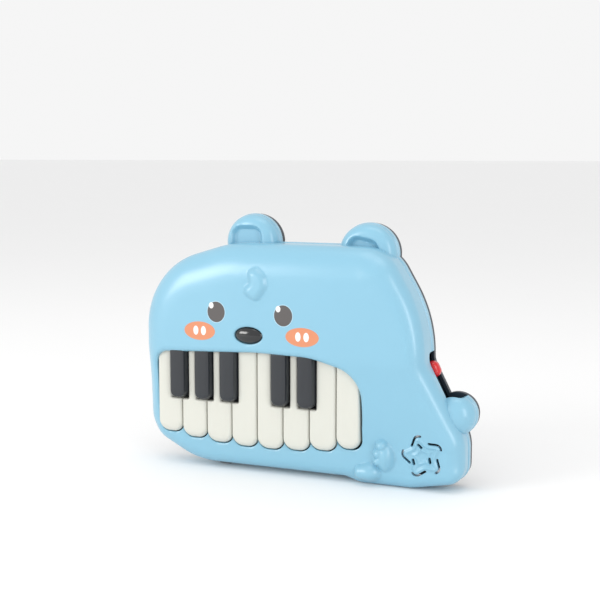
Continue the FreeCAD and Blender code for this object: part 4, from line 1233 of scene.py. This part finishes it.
for number, middle in enumerate(eyes["middles"]):
    side = ("left", "right")[number]
    halo = oval(middle, eyes["across"] + eyes["halo"], eyes["up"] + eyes["halo"])
    printed(f"{side}_eye_halo", halo, lifts["halo"], paint["halo"])
    printed(f"{side}_eye", oval(middle, eyes["across"], eyes["up"]), lifts["eye"], paint["print"])
    glint = oval(np.add(middle, eyes["glintAt"]), *eyes["glint"], 32)
    printed(f"{side}_eye_glint", glint, lifts["glint"], paint["ink"], 0.8)
for number, middle in enumerate(cheeks["middles"]):
    side = ("left", "right")[number]
    printed(f"{side}_cheek", oval(middle, cheeks["across"], cheeks["up"]), lifts["cheek"], paint["cheek"])
    for shift in (-1, 1):
        spot = np.add(middle, (shift * cheeks["apart"], 0.2))
        glint = oval(spot, *cheeks["glint"], 32)
        printed(f"{side}_cheek_glint_{(shift + 3) // 2}", glint, lifts["cheekGlint"], paint["ink"], 0.8)
print("face printed")

carried = {
    "cream": ["key_frame", "nose_switch_plunger"],
    "steel": ["key_pivot_rod", "battery_contacts", "speaker_frame"],
    "spring": ["battery_springs"],
    "silicone": ["rubber_contact_sheet", "foot_pad"],
    "board": ["key_circuit_board", "main_circuit_board", "nose_switch_board"],
    "resin": ["sound_chip_blob", "nose_switch_body", "power_switch_body"],
    "capacitor": ["capacitors"],
    "magnet": ["speaker_magnet"],
    "paper": ["speaker_cone"],
    "greyPlastic": ["speaker_clamp"],
    "wrap": ["battery_cell_1", "battery_cell_2", "battery_cell_3"],
    "redWire": ["battery_lead", "speaker_lead"],
    "blackWire": ["switch_lead"],
    "greyWire": ["ribbon_cable"],
}
for finishName, names in carried.items():
    for name in names:
        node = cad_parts[name]
        node.data.materials.clear()
        node.data.materials.append(paint[finishName])


def newTree(name, numbers):
    tree = bpy.data.node_groups.new(name, "GeometryNodeTree")
    tree.interface.new_socket("Geometry", in_out="INPUT", socket_type="NodeSocketGeometry")
    for label, value in numbers.items():
        tree.interface.new_socket(label, in_out="INPUT", socket_type="NodeSocketFloat").default_value = value
    tree.interface.new_socket("Finish", in_out="INPUT", socket_type="NodeSocketMaterial")
    tree.interface.new_socket("Geometry", in_out="OUTPUT", socket_type="NodeSocketGeometry")
    return tree, tree.nodes.new("NodeGroupInput"), tree.nodes.new("NodeGroupOutput")


# Adds a node with values or results on its inputs, a list where an input takes several, and gives its result.
def addNode(tree, kind, inputs, **settings):
    node = tree.nodes.new(kind)
    for key, value in settings.items():
        setattr(node, key, value)
    for socket, sources in inputs.items():
        for source in sources if isinstance(sources, list) else [sources]:
            if hasattr(source, "is_output"):
                tree.links.new(source, node.inputs[socket])
            else:
                node.inputs[socket].default_value = source
    return node.outputs[0]


def scaled(tree, source, factor):
    return addNode(tree, "ShaderNodeMath", {0: source, 1: factor}, operation="MULTIPLY")


def sized(tree, wide, deep, high):
    return addNode(tree, "ShaderNodeCombineXYZ", {"X": wide, "Y": deep, "Z": high})


def upBy(tree, geometry, height):
    return addNode(tree, "GeometryNodeTransform", {"Geometry": geometry, "Translation": sized(tree, 0, 0, height)})


# Cross-head screws stand on the points of the mesh, heads towards the back.
def screwTree():
    sizes = {
        "Head Radius": 0.0028,
        "Head Height": 0.002,
        "Recess": 0.003,
        "Shank Radius": 0.00125,
        "Shank Length": 0.01,
    }
    tree, given, result = newTree("crossHeadScrews", sizes)
    radius, high, recess, thin, long = (given.outputs[name] for name in sizes)
    half = scaled(tree, high, 0.5)
    dome = {"Vertices": 36, "Side Segments": 3, "Radius Top": scaled(tree, radius, 0.72), "Radius Bottom": radius}
    head = addNode(tree, "GeometryNodeMeshCone", {**dome, "Depth": half})
    collar = addNode(tree, "GeometryNodeMeshCylinder", {"Vertices": 36, "Radius": radius, "Depth": half})
    shank = addNode(tree, "GeometryNodeMeshCylinder", {"Vertices": 20, "Radius": thin, "Depth": long})
    parts = [
        upBy(tree, head, half),
        upBy(tree, collar, scaled(tree, high, 0.25)),
        upBy(tree, shank, scaled(tree, long, -0.49)),
    ]
    screw = addNode(tree, "GeometryNodeMeshBoolean", {1: parts}, operation="UNION", solver="EXACT")
    slim, deep = scaled(tree, recess, 0.26), scaled(tree, high, 1.1)
    bars = []
    for wide, other in ((recess, slim), (slim, recess)):
        bar = addNode(tree, "GeometryNodeMeshCube", {"Size": sized(tree, wide, other, deep)})
        bars.append(upBy(tree, bar, high))
    screw = addNode(tree, "GeometryNodeMeshBoolean", {0: screw, 1: bars}, operation="DIFFERENCE", solver="EXACT")
    return closeTree(tree, given, result, {"Instance": screw, "Rotation": (-math.pi / 2, 0, 0)})


# Low lens-shaped ribs side by side across the mesh's points.
def ribTree():
    sizes = {"Length": 0.016, "Width": 0.0012, "Height": 0.0007}
    tree, given, result = newTree("gripRibs", sizes)
    long, wide, high = (given.outputs[name] for name in sizes)
    bead = addNode(tree, "GeometryNodeMeshUVSphere", {"Segments": 24, "Rings": 12, "Radius": 0.5})
    return closeTree(tree, given, result, {"Instance": bead, "Scale": sized(tree, long, high, wide)})


def closeTree(tree, given, result, instance):
    spread = addNode(tree, "GeometryNodeInstanceOnPoints", {"Points": given.outputs["Geometry"], **instance})
    real = addNode(tree, "GeometryNodeRealizeInstances", {"Geometry": spread})
    finished = {"Geometry": real, "Material": given.outputs["Finish"]}
    tree.links.new(addNode(tree, "GeometryNodeSetMaterial", finished), result.inputs[0])
    return tree


# Runs a tree on a handful of points and keeps the result as a plain mesh.
def grown(name, tree, spots, numbers, material):
    mesh = bpy.data.meshes.new(name)
    mesh.from_pydata([tuple(c * mm for c in spot) for spot in spots], [], [])
    piece = bpy.data.objects.new(name, mesh)
    bpy.context.scene.collection.objects.link(piece)
    change = piece.modifiers.new("grow", "NODES")
    change.node_group = tree
    for item in tree.interface.items_tree:
        if item.in_out == "INPUT" and item.name in numbers:
            change[item.identifier] = numbers[item.name] * mm
        elif item.in_out == "INPUT" and item.name == "Finish":
            change[item.identifier] = material
    bpy.context.view_layer.update()
    done = bpy.data.meshes.new_from_object(piece.evaluated_get(bpy.context.evaluated_depsgraph_get()))
    piece.modifiers.clear()
    piece.data = done
    done.materials.clear()
    done.materials.append(material)
    done.shade_smooth()
    done.set_sharp_from_angle(angle=math.radians(34))
    return piece


# heads and shanks of each set. A length or a seat is given where the set shares its node with another.
small = dict(head=2.1, high=1.2, recess=2.4, shank=1)
screwSets = dict(
    housing_screws=dict(spots=backShell["screws"], head=2.8, high=2, recess=3.2, shank=1.25),
    frame_screws=dict(small, spots=[(-97, 96.5), (40, 96.5), (-50, 11.5), (-9, 11.5)]),
    board_screws=dict(small, spots=[(-56, 34), (-56, 76), (6, 34), (6, 76)], length=4.2),
    nose_board_screws=dict(small, spots=[(-43.5, 105), (-20.5, 105)], length=5.2, seat=-8.4),
    clamp_screws=dict(small, spots=[(66.4, 23.4), (104.6, 23.4)]),
    battery_door_screw=dict(small, spots=[backShell["doorScrew"]], high=1.4),
)
crossScrews = screwTree()
for name, kit in screwSets.items():
    # the nose board's screws share a node with the main board's
    shared = name == "nose_board_screws"
    low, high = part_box("board_screws" if shared else name)
    seat = kit.get("seat", high.y / mm - kit["high"])
    numbers = {
        "Head Radius": kit["head"],
        "Head Height": kit["high"],
        "Recess": kit["recess"],
        "Shank Radius": kit["shank"],
        "Shank Length": kit.get("length", seat - low.y / mm),
    }
    spots = [(across, seat, up) for across, up in kit["spots"]]
    screws = grown(name + "_cross", crossScrews, spots, numbers, paint["steel"])
    finish(screws, "housing", "steel", *([] if shared else [name]))

thumbAcross, thumbUp = backShell["thumb"]["middle"]
ribSpots = [(thumbAcross, backShell["face"] - 0.75, thumbUp + step * 1.9) for step in (-2, -1, 0, 1, 2)]
ribSizes = {"Length": 15, "Width": 1.1, "Height": 1.6}
grip = grown("battery_door_ribs", ribTree(), ribSpots, ribSizes, paint["navy"])
finish(grip, "housing", "navy_plastic")
print("screws and ribs grown")

studio = dict(
    floor=dict(colour=tone(246, 246, 246), roughness=0.9, grain=0.02, shade=0.99, cloudScale=3),
    size=30.0,
    steps=12,
    world=0.92,
    lights=[
        # place, aim, width, height, power, colour
        ("key", (-0.95, -1.05, 0.5), (-0.02, 0, 0.1), 0.7, 0.45, 8, (1, 0.99, 0.97)),
        ("fill", (1.05, -0.8, 0.32), (0.05, 0, 0.08), 0.2, 0.9, 4.5, (0.98, 0.99, 1)),
        ("top", (0.1, -0.25, 1.3), (0, 0, 0.1), 0.8, 0.5, 2, (1, 1, 1)),
    ],
)


def makeStudio():
    floor = bpy.data.meshes.new("floor")
    steps = studio["steps"]
    marks = [studio["size"] * (2 * i / steps - 1) for i in range(steps + 1)]
    points = [(x, y, 0) for y in marks for x in marks]
    row = steps + 1
    starts = [j * row + i for j in range(steps) for i in range(steps)]
    floor.from_pydata(points, [], [(k, k + 1, k + row + 1, k + row) for k in starts])
    ground = bpy.data.objects.new("floor", floor)
    bpy.context.scene.collection.objects.link(ground)
    floor.materials.append(mouldedPlastic("floorPaper", studio["floor"]))
    world = bpy.data.worlds.new("studio")
    world.use_nodes = True
    sky = world.node_tree.nodes["Background"].inputs
    sky["Color"].default_value = (1, 1, 1, 1)
    sky["Strength"].default_value = studio["world"]
    bpy.context.scene.world = world
    for name, spot, aim, wide, high, power, colour in studio["lights"]:
        lamp = bpy.data.lights.new(name, "AREA")
        lamp.shape = "RECTANGLE"
        lamp.size, lamp.size_y = wide, high
        lamp.energy = power
        lamp.color = colour
        holder = bpy.data.objects.new(name, lamp)
        way = (Vector(spot) - Vector(aim)).to_track_quat("Z", "Y")
        holder.matrix_world = Matrix.Translation(spot) @ way.to_matrix().to_4x4()
        bpy.context.scene.collection.objects.link(holder)


makeStudio()
bpy.context.scene.view_settings.view_transform = "Standard"
print("studio ready")
